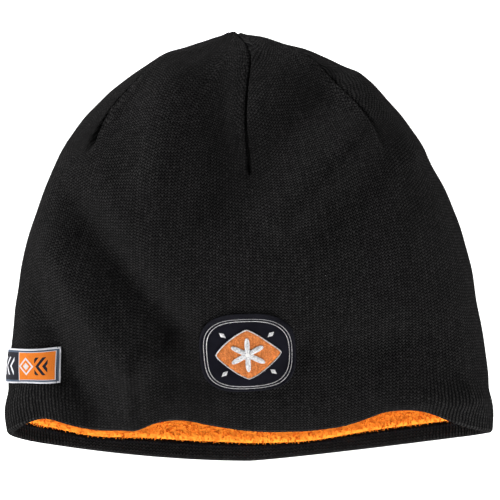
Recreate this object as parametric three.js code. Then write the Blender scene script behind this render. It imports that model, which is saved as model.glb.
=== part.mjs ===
// A fleece-lined knit cap, lying on its back with its mouth towards -Y and its crown towards +Y.
// Millimetres, +Z up. The origin is under the middle of the cap, on the surface that it lies on.
import * as THREE from 'three';

// The whole cap, as it lies
const CAP_WIDTH = 240; // side to side across the hem
const CAP_LENGTH = 209; // lowest point of the back rim to the crown
const CAP_THICKNESS = 76; // floor to the top of the fullest section

// The cloth
const KNIT_WALL = 1.8; // one layer of the knit
const FLEECE_WALL = 2.5; // the lining with its pile
const PIECE_GAP = 0.35; // between the knit and the lining, and between layers of the embroidery
const TRIM_GAP = 0.5; // between the knit and what is sewn on it

// The hem: the knit is turned in behind the rim, and the lining starts where it ends
const HEM_TURN = 7.2; // height of the turned-in knit
const HEM_BAND = 14; // height of the outer band that the doubled knit pushes out
const HEM_FLARE = 1.8; // how far it is pushed out
const HEM_CREASE = 0.5; // depth of the soft crease above the band
const FRONT_RIM_SETBACK = 14.5; // how much further up the front rim lies than the back rim
const WAVE_LIFT = 0.45; // how far a wave of the front rim lifts off, for each millimetre that it is set back

// How the cap sits on the floor
const FLOOR_PRESS = 5; // how much deeper the back would bulge if there were no floor
const FLOOR_EASE = 3; // softness of the turn where the cloth leaves the floor
const FREE_HEIGHT = 8; // height above the floor from which a relief has its full depth

// The crown seams
const SEAM_SPREAD = 2.3; // half width of a seam's groove on the outside
const SEAM_SPREAD_INSIDE = 6; // half width of the ridge that the seam allowance makes inside
const SEAM_RUN_OUT = 9; // length over which a seam's lower end fades away
const SEAM_LIP = 1.9; // how far the panel that lies in front puffs up beside a seam
const SEAM_PUFF = 0.2; // the same for the panel behind it
const SEAM_PUFF_OFFSET = 5.5; // distance of that puff from the seam
const SEAM_PUFF_SPREAD = 3.4; // its half width
const SEAM_PUFF_LOW = 0.35; // the share of that puff at a seam's lower end
const SEAM_PUFF_GROWTH = 48; // length over which it grows to the whole
const SEAM_AT_TIP = 0.3; // the share of a seam's relief that is left at the crown's tip

// The embroidered patch on the front
const PATCH_WIDTH = 45.5;
const PATCH_HEIGHT = 40.5;
const PATCH_CENTRE = 54.3; // from the back rim, seen from above
const PATCH_TURN = 2; // degrees that it is sewn on askew, its right side up
const PATCH_THICKNESS = 1.1;
const PATCH_BORDER = 2.2; // width of the raised edge
const PATCH_BORDER_RISE = 0.5;
const PATCH_SQUARENESS = 3.1; // 2 would be an ellipse
const FIELD_WIDTH = 31; // the lozenge embroidered in the middle
const FIELD_HEIGHT = 26;
const STAR_REACH = 9; // the six-armed star on the lozenge, centre to tip
const STAR_WAIST = 2.6; // centre to the notch between two arms
const STITCH_RISE = 0.5; // thickness of each layer of embroidery

// The woven label, wrapped round the cap's left side
const LABEL_LENGTH = 54;
const LABEL_HEIGHT = 16.8;
const LABEL_THICKNESS = 0.7;
const LABEL_CENTRE = 47.5; // from the back rim, seen from above
const LABEL_FRONT_SHARE = 0.72; // the share of the label that lies on the front

// A row for each cross-section from the rim to the crown. rise is the share of the way up, side the
// height of the widest line and arch the height of the front above it, both as shares of
// CAP_THICKNESS. fullness is 2 for an ellipse and more for a flat section with round ends.
const SECTIONS = [
  { rise: 0.0, side: 0.17, arch: 0.27, fullness: 6.0 },
  { rise: 0.15, side: 0.22, arch: 0.41, fullness: 4.4 },
  { rise: 0.35, side: 0.29, arch: 0.57, fullness: 3.2 },
  { rise: 0.6, side: 0.34, arch: 0.66, fullness: 2.7 },
  { rise: 0.8, side: 0.36, arch: 0.64, fullness: 2.5 },
  { rise: 1.0, side: 0.36, arch: 0.6, fullness: 2.4 },
];

// The outline from above, a row for each rise. narrowing is 1 less the square of the half width's
// share of bodyHalfWidth, which closes the outline round at the crown's tip. lean is how far the
// section's middle stands to the right, in millimetres.
const OUTLINE = [
  { rise: 0, narrowing: 0, lean: 0 },
  { rise: 0.16, narrowing: 0.02, lean: -0.7 },
  { rise: 0.33, narrowing: 0.092, lean: -1.4 },
  { rise: 0.5, narrowing: 0.203, lean: -1.9 },
  { rise: 0.65, narrowing: 0.37, lean: -3.1 },
  { rise: 0.78, narrowing: 0.552, lean: -4.2 },
  { rise: 0.88, narrowing: 0.749, lean: -2.7 },
  { rise: 0.94, narrowing: 0.889, lean: -1.1 },
  { rise: 0.975, narrowing: 0.964, lean: -2.7 },
  { rise: 1, narrowing: 1, lean: -6 },
];
const CROWN_POWER = 5; // the crown's end is blunter when seen from the side

// A row for each half of the back rim: how much further up it lies at the side than in its middle,
// and how late it sweeps up, from 1 for a straight line.
const BACK_RIM = {
  left: { sweep: 11.5, curve: 1.85 },
  right: { sweep: 13.7, curve: 1.15 },
};

// A row for each wave of the front rim. at and spread are shares of half the width, setback is a
// share of FRONT_RIM_SETBACK.
const RIM_WAVES = [
  { at: -0.83, spread: 0.12, setback: 0.5 },
  { at: -0.33, spread: 0.17, setback: 0.36 },
  { at: 0.64, spread: 0.16, setback: 0.75 },
];

// A row for each soft fold of the front. x is a share of half the width, y a share of the length,
// spread and swell are shares of the thickness. A negative swell is a valley.
const FOLDS = [
  { name: 'crown_ridge', x0: -0.31, y0: 0.9, x1: -0.36, y1: 0.66, spread: 0.17, swell: 0.06 },
  { name: 'crown_valley', x0: -0.12, y0: 0.86, x1: -0.14, y1: 0.6, spread: 0.22, swell: -0.075 },
  { name: 'left_valley', x0: -0.69, y0: 0.64, x1: -0.28, y1: 0.385, spread: 0.12, swell: -0.075 },
  { name: 'low_ridge', x0: -0.77, y0: 0.57, x1: -0.47, y1: 0.28, spread: 0.12, swell: 0.06 },
  { name: 'foot_ridge', x0: -0.44, y0: 0.26, x1: -0.42, y1: 0.1, spread: 0.1, swell: 0.05 },
  { name: 'hem_valley', x0: -0.75, y0: 0.37, x1: -0.57, y1: 0.13, spread: 0.08, swell: -0.05 },
  { name: 'right_valley', x0: 0.28, y0: 0.85, x1: 0.02, y1: 0.69, spread: 0.17, swell: -0.06 },
  { name: 'right_ridge', x0: 0.43, y0: 0.75, x1: 0.13, y1: 0.57, spread: 0.14, swell: 0.04 },
  { name: 'side_ridge', x0: 0.43, y0: 0.89, x1: 0.66, y1: 0.72, spread: 0.08, swell: 0.04 },
  { name: 'hem_ridge', x0: 0.6, y0: 0.145, x1: 0.93, y1: 0.155, spread: 0.07, swell: 0.03 },
];

// A row for each crown seam. turn is the share of the way round from the middle of the front,
// clockwise as the crown is seen from the mouth; start is the share of the length where it begins.
// lip is the side on which the panel lies in front, 1 towards growing turn, and depth is the
// groove's depth in millimetres.
const SEAMS = [
  { name: 'front', turn: 0.006, start: 0.645, lip: -1, depth: 1.9 },
  { name: 'right', turn: 0.163, start: 0.715, lip: -1, depth: 1.5 },
  { name: 'back', turn: 0.5, start: 0.72, lip: 1, depth: 1.9 },
  { name: 'left', turn: 0.815, start: 0.715, lip: 1, depth: 2.7 },
];

// The mesh: columns crowd towards the seams and round the side folds, which lie in the two back
// panels. The right half's shares of a panel's width are given, from its first seam.
const FRONT_PANEL = [0, 0.03, 0.08, 0.2, 0.35, 0.5, 0.65, 0.8, 0.92, 0.97];
const BACK_PANEL = [0, 0.02, 0.05, 0.09, 0.13, 0.17, 0.22, 0.27, 0.32, 0.37, 0.45, 0.6, 0.78, 0.94, 0.98];
const HEM_ROWS = [0, 0.7, 1.4, 2.1, 3.2]; // 0 is HEM_TURN, 1 is HEM_BAND
const ROWS = 18;
const QUARTER_STEPS = 36;
const STEP = 1e-4; // for slopes taken by small differences
const POLE = 1 - 1e-3; // how near the crown's tip a section still has a shape

const hemThickness = 2 * KNIT_WALL + PIECE_GAP;
const rimRadius = hemThickness / 2;
const bodyHalfWidth = CAP_WIDTH / 2 - HEM_FLARE;

const clamp = (value) => Math.min(1, Math.max(0, value));
const smooth = (value) => clamp(value) ** 2 * (3 - 2 * clamp(value));
const bump = (distance, spread) => Math.exp(-((distance / spread) ** 2));
const mix = (a, b, share) => a + (b - a) * share;

// A column of a table at some rise, by a cubic through the rows.
function tableAt(table, column, rise) {
  let i = table.findIndex((row) => row.rise > rise) - 1;
  if (i < 0) i = table.length - 2;
  const slope = (k) => {
    const before = table[Math.max(0, k - 1)];
    const after = table[Math.min(table.length - 1, k + 1)];
    return (after[column] - before[column]) / (after.rise - before.rise);
  };
  const [a, b] = [table[i], table[i + 1]];
  const span = b.rise - a.rise;
  const t = (rise - a.rise) / span;
  const fromValues = mix(a[column], b[column], t * t * (3 - 2 * t));
  const fromSlopes = t * (1 - t) * ((1 - t) * slope(i) - t * slope(i + 1)) * span;
  return fromValues + fromSlopes;
}

// The cloth can't go below the floor: a depth under it is laid flat, with a soft turn.
function restOnFloor(z) {
  if (z <= -FLOOR_EASE) return 0;
  if (z >= FLOOR_EASE) return z;
  return (z + FLOOR_EASE) ** 2 / (4 * FLOOR_EASE);
}

// The closed cross-section at some rise: x and z from the middle of the front, over the right side,
// the back and the left side, with the length round to each point.
function sectionAt(rise) {
  const width = bodyHalfWidth * Math.sqrt(1 - tableAt(OUTLINE, 'narrowing', rise));
  const closing = Math.sqrt(1 - rise ** CROWN_POWER);
  const side = tableAt(SECTIONS, 'side', rise) * CAP_THICKNESS;
  const arch = tableAt(SECTIONS, 'arch', rise) * CAP_THICKNESS * closing;
  const sag = (side + FLOOR_PRESS) * closing;
  const fullness = tableAt(SECTIONS, 'fullness', rise);
  const quarter = (sideSign, height) => {
    const points = [];
    for (let i = 0; i <= QUARTER_STEPS; i += 1) {
      const across = 1 - (1 - i / QUARTER_STEPS) ** 2;
      const drop = Math.sqrt(Math.max(0, 1 - across ** fullness));
      points.push({ x: sideSign * width * across, z: restOnFloor(side + height * drop) });
    }
    return points;
  };
  const points = [
    ...quarter(1, arch),
    ...quarter(1, -sag).reverse().slice(1),
    ...quarter(-1, -sag).slice(1),
    ...quarter(-1, arch).reverse().slice(1),
  ];
  const lengths = [0];
  for (let i = 1; i < points.length; i += 1) {
    const step = Math.hypot(points[i].x - points[i - 1].x, points[i].z - points[i - 1].z);
    lengths.push(lengths[i - 1] + step);
  }
  const perimeter = lengths[lengths.length - 1];
  const leftSide = lengths[3 * QUARTER_STEPS];
  return { points, lengths, perimeter, leftSide, width, side, top: side + arch };
}

// Where the rim lies: further up in the front than in the back, and waved in the front.
function rimLine(x, frontness) {
  const share = x / bodyHalfWidth;
  const { sweep, curve } = share < 0 ? BACK_RIM.left : BACK_RIM.right;
  const back = rimRadius + sweep * Math.min(1, Math.abs(share)) ** curve;
  const front = rimRadius + FRONT_RIM_SETBACK + rimWave(share);
  return mix(back, front, frontness);
}

function rimWave(share) {
  const waves = RIM_WAVES.map((w) => w.setback * bump(share - w.at, w.spread));
  return FRONT_RIM_SETBACK * waves.reduce((sum, wave) => sum + wave, 0);
}

// A point of the cap before its relief. turn goes round the section, rise from rim to crown.
function basePoint(turn, rise) {
  const section = sectionAt(rise);
  const { points, lengths, perimeter } = section;
  const wanted = (turn - Math.floor(turn)) * perimeter;
  let i = lengths.findIndex((length) => length > wanted) - 1;
  if (i < 0) i = lengths.length - 2;
  const t = (wanted - lengths[i]) / (lengths[i + 1] - lengths[i]);
  const x = mix(points[i].x, points[i + 1].x, t);
  const z = mix(points[i].z, points[i + 1].z, t);
  const frontness = smooth(z / section.top);
  const rim = rimLine(x, frontness);
  const lift = WAVE_LIFT * rimWave(x / bodyHalfWidth) * frontness * bump(rise, 0.16);
  const lean = tableAt(OUTLINE, 'lean', rise);
  const place = new THREE.Vector3(x + lean, mix(rim, CAP_LENGTH, rise), z + lift);
  return { place, frontness, rim, perimeter };
}

function outwardNormal(turn, rise) {
  const low = Math.max(0, rise - STEP);
  const high = Math.min(POLE, rise + STEP);
  const round = basePoint(turn + STEP, rise).place.sub(basePoint(turn - STEP, rise).place);
  const up = basePoint(turn, high).place.sub(basePoint(turn, low).place);
  return new THREE.Vector3().crossVectors(round, up).normalize();
}

// The length round the section from one turn to another, positive towards growing turn.
function turnApart(turn, other, perimeter) {
  const apart = (((turn - other + 0.5) % 1) + 1) % 1;
  return (apart - 0.5) * perimeter;
}

function foldRelief(place, frontness) {
  const lengths = (fold) => {
    const from = new THREE.Vector2(fold.x0 * bodyHalfWidth, fold.y0 * CAP_LENGTH);
    const to = new THREE.Vector2(fold.x1 * bodyHalfWidth, fold.y1 * CAP_LENGTH);
    const along = to.clone().sub(from);
    const here = new THREE.Vector2(place.x, place.y);
    const share = clamp(here.clone().sub(from).dot(along) / along.lengthSq());
    return here.distanceTo(from.addScaledVector(along, share));
  };
  const swells = FOLDS.map(
    (fold) => fold.swell * CAP_THICKNESS * bump(lengths(fold), fold.spread * CAP_THICKNESS),
  );
  return frontness * swells.reduce((sum, swell) => sum + swell, 0);
}

function hemRelief(fromRim) {
  const flare = HEM_FLARE * bump(fromRim - HEM_BAND * 0.65, HEM_BAND * 0.65);
  const crease = HEM_CREASE * bump(fromRim - HEM_BAND * 1.4, HEM_BAND * 0.3);
  return flare - crease;
}

function seamRelief(turn, rise, y, perimeter, spread) {
  return SEAMS.reduce((sum, seam) => {
    const away = turnApart(turn, seam.turn, perimeter);
    const above = y - seam.start * CAP_LENGTH;
    const begun = smooth(above / SEAM_RUN_OUT);
    const strength = begun * mix(1, SEAM_AT_TIP, rise ** 8);
    const height = away * seam.lip > 0 ? SEAM_LIP : SEAM_PUFF;
    const grown = mix(SEAM_PUFF_LOW, 1, smooth(above / SEAM_PUFF_GROWTH));
    const puff = grown * height * bump(Math.abs(away) - SEAM_PUFF_OFFSET, SEAM_PUFF_SPREAD);
    return sum + strength * (puff - seam.depth * bump(away, spread));
  }, 0);
}

// A point of the cloth: depth is measured inwards from the outer face.
function clothPoint(turn, rise, depth, inside = false) {
  const { place, frontness, rim, perimeter } = basePoint(turn, rise);
  const normal = outwardNormal(turn, rise);
  const free = smooth(place.z / FREE_HEIGHT);
  const spread = inside ? SEAM_SPREAD_INSIDE : SEAM_SPREAD;
  const relief =
    foldRelief(place, frontness) +
    hemRelief(place.y - rim) +
    seamRelief(turn, rise, place.y, perimeter, spread);
  return place.addScaledVector(normal, free * relief - depth);
}

// The rise at which the cloth passes a given y, seen from above.
function riseAtY(turn, y) {
  let rise = 0;
  for (let i = 0; i < 8; i += 1) {
    const { rim } = basePoint(turn, rise);
    rise = clamp((y - rim) / (CAP_LENGTH - rim));
  }
  return rise;
}

// A closed solid through rings of equal size, with a point at each end.
function closedLoft(start, rings, end) {
  const count = rings[0].length;
  const corners = [start, ...rings.flat(), end];
  const triangles = [];
  for (let j = 0; j < count; j += 1) {
    const next = (j + 1) % count;
    triangles.push(0, 1 + next, 1 + j);
    for (let i = 0; i + 1 < rings.length; i += 1) {
      const [a, b] = [1 + i * count, 1 + (i + 1) * count];
      triangles.push(a + j, a + next, b + j, a + next, b + next, b + j);
    }
    const last = 1 + (rings.length - 1) * count;
    triangles.push(last + j, last + next, corners.length - 1);
  }
  const geometry = new THREE.BufferGeometry().setFromPoints(corners);
  geometry.setIndex(signedVolume(corners, triangles) < 0 ? triangles.reverse() : triangles);
  geometry.computeVertexNormals();
  return geometry;
}

function signedVolume(corners, triangles) {
  let volume = 0;
  for (let i = 0; i < triangles.length; i += 3) {
    const [a, b, c] = [0, 1, 2].map((k) => corners[triangles[i + k]]);
    volume += a.dot(new THREE.Vector3().crossVectors(b, c)) / 6;
  }
  return volume;
}

// Where the columns stand: the right half's panels in order, then the left half's mirrored.
function columnTurns() {
  const [front, right, back, left] = SEAMS.map((seam) => seam.turn);
  const mirrored = (panel) => [0, ...panel.slice(1).reverse().map((share) => 1 - share)];
  return [
    ...FRONT_PANEL.map((share) => mix(front, right, share)),
    ...BACK_PANEL.map((share) => mix(right, back, share)),
    ...mirrored(BACK_PANEL).map((share) => mix(back, left, share)),
    ...mirrored(FRONT_PANEL).map((share) => mix(left, front + 1, share)),
  ];
}
const columns = columnTurns();

const ringAt = (rise, depth, inside) =>
  columns.map((turn) => clothPoint(turn, rise, depth, inside));

function crownTip(depth) {
  const ring = ringAt(POLE, depth, true);
  return ring.reduce((sum, p) => sum.add(p), new THREE.Vector3()).divideScalar(ring.length);
}

// Rises of the rows from the turned-in hem's edge to just under the crown's tip: close together
// over the outer band's edge, then even in angle.
function rowRises() {
  const band = HEM_ROWS.map((share) => mix(HEM_TURN, HEM_BAND, share) / CAP_LENGTH);
  const from = Math.asin(band.pop());
  const rises = [];
  for (let i = 0; i < ROWS; i += 1) rises.push(Math.sin(mix(from, Math.PI / 2, i / ROWS)));
  return [...band, ...rises];
}

// The black knit: the outer face from crown to rim, the round rim, the turned-in hem, the inner face.
function knitShell() {
  const hemRise = HEM_TURN / CAP_LENGTH;
  const rises = [0, HEM_TURN / 2 / CAP_LENGTH, ...rowRises()];
  const outer = rises.map((rise) => ringAt(rise, 0)).reverse();
  const rimEdge = [0.25, 0.5, 0.75].map((share) => {
    const angle = Math.PI * share;
    return columns.map((turn) => {
      const up = clothPoint(turn, STEP, 0).sub(clothPoint(turn, 0, 0)).normalize();
      const inwards = rimRadius * (1 - Math.cos(angle));
      return clothPoint(turn, 0, inwards).addScaledVector(up, -rimRadius * Math.sin(angle));
    });
  });
  const facing = [0, hemRise].map((rise) => ringAt(rise, hemThickness));
  const inner = rowRises().map((rise) => ringAt(rise, KNIT_WALL, true));
  return closedLoft(crownTip(0), [...outer, ...rimEdge, ...facing, ...inner], crownTip(KNIT_WALL));
}

// The fleece: a second dome inside the knit, from the turned-in hem's edge to the crown.
function fleeceLining() {
  const outside = KNIT_WALL + PIECE_GAP;
  const inside = outside + FLEECE_WALL;
  const rises = [(HEM_TURN + PIECE_GAP) / CAP_LENGTH, ...rowRises().slice(1)];
  const inner = rises.map((rise) => ringAt(rise, inside, true)).reverse();
  const outer = rises.map((rise) => ringAt(rise, outside, true));
  return closedLoft(crownTip(inside), [...inner, ...outer], crownTip(outside));
}

// Places on the front for a flat cut of cloth: x and y are measured along the cloth from the
// patch's centre, and height is how far above the knit.
function patchPlacer() {
  const middle = riseAtY(0, PATCH_CENTRE);
  const slope = basePoint(0, middle + STEP).place.sub(basePoint(0, middle).place).normalize();
  const askew = THREE.MathUtils.degToRad(PATCH_TURN);
  return (x, y, height) => {
    const { perimeter } = basePoint(0, middle);
    const flat = new THREE.Vector2(x, y).rotateAround(new THREE.Vector2(), askew);
    const turn = flat.x / perimeter;
    return clothPoint(turn, riseAtY(turn, PATCH_CENTRE + flat.y * slope.y), -height);
  };
}
const onFront = patchPlacer();

// A thin plate on the front from an outline that gives x and y at a share of the way round.
// Each row is a ring: its share of the outline's size and the height of the plate's face there.
function frontPlate(outline, count, base, rings) {
  const ring = (share, height) => {
    const places = [];
    for (let i = 0; i < count; i += 1) {
      const [x, y] = outline(i / count, share);
      places.push(onFront(x, y, height));
    }
    return places;
  };
  const face = rings.map(([share, height]) => ring(share, height));
  const under = [...rings].reverse().map(([share]) => ring(share, base));
  return closedLoft(onFront(0, 0, rings[0][1]), [...face, ...under], onFront(0, 0, base));
}

function roundedOutline(width, height, power) {
  return (share, size) => {
    const angle = share * 2 * Math.PI;
    const [c, s] = [Math.cos(angle), Math.sin(angle)];
    const reach = (Math.abs(c) ** power + Math.abs(s) ** power) ** (-1 / power);
    return [(size * width * reach * c) / 2, (size * height * reach * s) / 2];
  };
}

function starOutline(arms, reach, waist) {
  return (share, size) => {
    const angle = share * 2 * Math.PI + Math.PI / 2;
    const radius = mix(waist, reach, Math.abs(Math.cos((arms * share * 2 * Math.PI) / 2)) ** 3);
    return [size * radius * Math.cos(angle), size * radius * Math.sin(angle)];
  };
}

const patchFace = TRIM_GAP + PATCH_THICKNESS;
const fieldFace = patchFace + PIECE_GAP + STITCH_RISE;
const starFace = fieldFace + PIECE_GAP + STITCH_RISE;

function frontPatch() {
  const inner = 1 - (2 * PATCH_BORDER) / PATCH_WIDTH;
  const raised = patchFace + PATCH_BORDER_RISE;
  const rings = [
    [inner * 0.5, patchFace],
    [inner, patchFace],
    [mix(inner, 1, 0.35), raised],
    [mix(inner, 1, 0.8), raised],
    [1, TRIM_GAP + PATCH_THICKNESS * 0.4],
  ];
  return frontPlate(
    roundedOutline(PATCH_WIDTH, PATCH_HEIGHT, PATCH_SQUARENESS),
    36,
    TRIM_GAP,
    rings,
  );
}

function patchField() {
  const rings = [
    [0.5, fieldFace],
    [0.94, fieldFace],
    [1, patchFace + PIECE_GAP + STITCH_RISE * 0.4],
  ];
  const lozenge = roundedOutline(FIELD_WIDTH, FIELD_HEIGHT, 1.25);
  return frontPlate(lozenge, 28, patchFace + PIECE_GAP, rings);
}

function patchStar() {
  const rings = [
    [0.5, starFace],
    [1, fieldFace + PIECE_GAP + STITCH_RISE * 0.5],
  ];
  return frontPlate(starOutline(6, STAR_REACH, STAR_WAIST), 48, fieldFace + PIECE_GAP, rings);
}

// The label: rings are its cross-sections, from its front end round the cap's left side.
function sideLabel() {
  const steps = 16;
  const rows = 4;
  const rings = [];
  const { leftSide, perimeter } = sectionAt(riseAtY(SEAMS[3].turn, LABEL_CENTRE));
  for (let i = 0; i <= steps; i += 1) {
    const turn = (leftSide + LABEL_LENGTH * (LABEL_FRONT_SHARE - i / steps)) / perimeter;
    const edge = (depth) => {
      const places = [];
      for (let j = 0; j <= rows; j += 1) {
        const y = LABEL_CENTRE + LABEL_HEIGHT * (j / rows - 0.5);
        places.push(clothPoint(turn, riseAtY(turn, y), depth));
      }
      return places;
    };
    const outer = edge(-TRIM_GAP - LABEL_THICKNESS);
    rings.push([...edge(-TRIM_GAP), ...outer.reverse()]);
  }
  const centre = (ring) =>
    ring.reduce((sum, p) => sum.add(p), new THREE.Vector3()).divideScalar(ring.length);
  return closedLoft(centre(rings[0]), rings, centre(rings[steps]));
}

function cloth(color, roughness) {
  return new THREE.MeshStandardMaterial({ color, roughness, metalness: 0 });
}

const blackKnit = cloth('#1d1d1e', 0.95);
const orangeFleece = cloth('#f5821f', 1.0);
const blackTwill = cloth('#15151a', 0.9);
const orangeThread = cloth('#e8802e', 0.7);
const whiteThread = cloth('#e9e7e6', 0.7);
const wovenLabel = cloth('#f08a24', 0.6);

function piece(name, geometry, material) {
  const mesh = new THREE.Mesh(geometry, material);
  mesh.name = name;
  return mesh;
}

const cap = new THREE.Group();
cap.add(
  piece('knit_shell', knitShell(), blackKnit),
  piece('fleece_lining', fleeceLining(), orangeFleece),
  piece('front_patch', frontPatch(), blackTwill),
  piece('patch_field', patchField(), orangeThread),
  piece('patch_star', patchStar(), whiteThread),
  piece('side_label', sideLabel(), wovenLabel),
);

// The origin goes under the middle of the cap.
const box = new THREE.Box3().setFromObject(cap);
const middle = box.getCenter(new THREE.Vector3());
cap.position.set(-middle.x, -middle.y, -box.min.z);

export default cap;
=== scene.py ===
# %% [markdown]
# # A fleece-lined knit cap, lying on its back
#
# The cap is a tube of fine black knit. Four darts close its crown, its rim is turned in, and a dome
# of orange fleece lines it. A patch is sewn on the front and a woven label round one side.
#
# The CAD solids are fixed: they give the size and the place of each piece. This file dresses them.
# It repeats the rule that the solids follow, at a finer step, and adds what CAD leaves out: stitches,
# pile, threads, weave and light.

import math

import bpy
import numpy as np
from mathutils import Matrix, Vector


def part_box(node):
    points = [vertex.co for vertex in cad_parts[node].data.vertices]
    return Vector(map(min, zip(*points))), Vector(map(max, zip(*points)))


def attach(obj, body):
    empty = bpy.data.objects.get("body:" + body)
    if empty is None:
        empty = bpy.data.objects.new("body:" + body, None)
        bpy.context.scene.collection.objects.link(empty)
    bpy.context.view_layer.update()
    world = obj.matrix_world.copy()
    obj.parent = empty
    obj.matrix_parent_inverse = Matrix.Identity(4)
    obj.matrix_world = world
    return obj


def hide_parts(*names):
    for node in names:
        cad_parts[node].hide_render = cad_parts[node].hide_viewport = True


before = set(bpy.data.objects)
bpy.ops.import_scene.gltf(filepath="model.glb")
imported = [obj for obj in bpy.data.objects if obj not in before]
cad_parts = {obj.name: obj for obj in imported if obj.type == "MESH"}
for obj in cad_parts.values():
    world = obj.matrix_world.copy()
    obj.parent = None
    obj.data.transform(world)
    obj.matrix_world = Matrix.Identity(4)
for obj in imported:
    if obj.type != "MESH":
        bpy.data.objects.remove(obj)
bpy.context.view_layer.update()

# %% [markdown]
# ## The sizes
#
# These are the part's own sizes, in millimetres, so that a piece made here lies where its solid
# lies. The two tables have a row for each cross-section and for each soft fold, with their lengths
# as shares of the sizes above them.

# %% Sizes of the whole cap
MM = 0.001

CAP_WIDTH = 240.0
CAP_LENGTH = 209.0
CAP_THICKNESS = 76.0

KNIT_WALL = 1.8
FLEECE_WALL = 2.5
PIECE_GAP = 0.35
TRIM_GAP = 0.5

HEM_TURN = 7.2
HEM_BAND = 14.0
HEM_FLARE = 1.8
HEM_CREASE = 0.5
HEM_SWELL_AT = 0.65  # shares of the band: where it stands out, where it creases and how widely
HEM_CREASE_AT = 1.4
HEM_CREASE_SPREAD = 0.3
FRONT_RIM_SETBACK = 14.5
WAVE_LIFT = 0.45
WAVE_FADE = 0.16

FLOOR_PRESS = 5.0
FLOOR_EASE = 3.0
FREE_HEIGHT = 8.0

CROWN_POWER = 5.0

HEM_THICKNESS = 2 * KNIT_WALL + PIECE_GAP
RIM_RADIUS = HEM_THICKNESS / 2
BODY_HALF_WIDTH = CAP_WIDTH / 2 - HEM_FLARE

SECTIONS = [
    dict(rise=0.0, side=0.17, arch=0.27, fullness=6.0),
    dict(rise=0.15, side=0.22, arch=0.41, fullness=4.4),
    dict(rise=0.35, side=0.29, arch=0.57, fullness=3.2),
    dict(rise=0.6, side=0.34, arch=0.66, fullness=2.7),
    dict(rise=0.8, side=0.36, arch=0.64, fullness=2.5),
    dict(rise=1.0, side=0.36, arch=0.6, fullness=2.4),
]

OUTLINE = [
    dict(rise=0, narrowing=0, lean=0),
    dict(rise=0.16, narrowing=0.02, lean=-0.7),
    dict(rise=0.33, narrowing=0.092, lean=-1.4),
    dict(rise=0.5, narrowing=0.203, lean=-1.9),
    dict(rise=0.65, narrowing=0.37, lean=-3.1),
    dict(rise=0.78, narrowing=0.552, lean=-4.2),
    dict(rise=0.88, narrowing=0.749, lean=-2.7),
    dict(rise=0.94, narrowing=0.889, lean=-1.1),
    dict(rise=0.975, narrowing=0.964, lean=-2.7),
    dict(rise=1, narrowing=1, lean=-6.0),
]

BACK_RIM = [
    dict(side=-1, sweep=11.5, curve=1.85),
    dict(side=1, sweep=13.7, curve=1.15),
]

RIM_WAVES = [  # a little wider than in the solid
    dict(at=-0.86, spread=0.138, setback=0.49),
    dict(at=-0.3, spread=0.2, setback=0.38),
    dict(at=0.64, spread=0.22, setback=0.79),
]

# The front's soft swells and hollows. They are a little deeper than in the solid, and those at the
# lower left lie lower, because grazing light shows more of them.
FOLDS = [
    dict(name="crown_ridge", x0=-0.31, y0=0.9, x1=-0.36, y1=0.66, spread=0.17, swell=0.085),
    dict(name="crown_valley", x0=-0.12, y0=0.86, x1=-0.14, y1=0.6, spread=0.22, swell=-0.078),
    dict(name="left_valley", x0=-0.73, y0=0.6, x1=-0.32, y1=0.31, spread=0.13, swell=-0.11),
    dict(name="low_ridge", x0=-0.8, y0=0.5, x1=-0.5, y1=0.22, spread=0.12, swell=0.085),
    dict(name="foot_ridge", x0=-0.48, y0=0.24, x1=-0.47, y1=0.1, spread=0.09, swell=0.065),
    dict(name="hem_valley", x0=-0.9, y0=0.4, x1=-0.65, y1=0.13, spread=0.1, swell=-0.065),
    dict(name="low_valley", x0=0.2, y0=0.26, x1=0.7, y1=0.28, spread=0.15, swell=-0.045),
    dict(name="right_valley", x0=0.28, y0=0.85, x1=0.02, y1=0.69, spread=0.17, swell=-0.075),
    dict(name="right_ridge", x0=0.43, y0=0.75, x1=0.13, y1=0.57, spread=0.13, swell=0.085),
    dict(name="side_ridge", x0=0.43, y0=0.89, x1=0.66, y1=0.72, spread=0.08, swell=0.055),
    dict(name="hem_ridge", x0=0.6, y0=0.145, x1=0.93, y1=0.155, spread=0.07, swell=0.045),
]
print("sections:", len(SECTIONS), "folds:", [fold["name"] for fold in FOLDS])

# %% [markdown]
# ## The darts
#
# A knitted tube can't close over a head by itself. Wedges are cut out of its top and their edges are
# sewn together, which leaves four ridges that run up to the crown. From outside each one is a fine
# groove where the two panels meet. The panel that lies in front rolls a little over the one behind
# it, so a groove has a proud lip on one side. `lip` says on which: +1 is towards growing `turn`.

# %% Sizes of the darts
SEAMS = [
    dict(name="front", turn=0.006, start=0.645, lip=-1, depth=1.9),
    dict(name="right", turn=0.163, start=0.715, lip=-1, depth=1.0),
    dict(name="back", turn=0.5, start=0.72, lip=1, depth=1.9),
    dict(name="left", turn=0.815, start=0.715, lip=1, depth=3.2),
]
SEAM_SPREAD = 0.8  # sharper than in the solid, whose facets are wider
SEAM_POCKET = 2.2  # the groove's half width at its lower end, where it opens into a small pocket
POCKET_LENGTH = 22.0
SEAM_SPREAD_INSIDE = 6.0
SEAM_RUN_OUT = 9.0
SEAM_PUFF = 0.2
SEAM_LIP = 1.9
SEAM_PUFF_OFFSET = 5.5
SEAM_PUFF_SPREAD = 3.4
SEAM_PUFF_LOW = 0.35
SEAM_PUFF_GROWTH = 48.0
SEAM_AT_TIP = 0.3
TIP_POWER = 8
LIP_RISE = 0.8
LIP_OFFSET = 1.8
LIP_SPREAD = 1.1
PUCKER = 0.22  # the small gathers along the seam
PUCKER_LENGTH = 5.5
PUCKER_REACH = 7.0
PUCKER_SHIFT = 40  # so that the gathers of two darts don't line up
print("darts:", [seam["name"] for seam in SEAMS])

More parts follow.
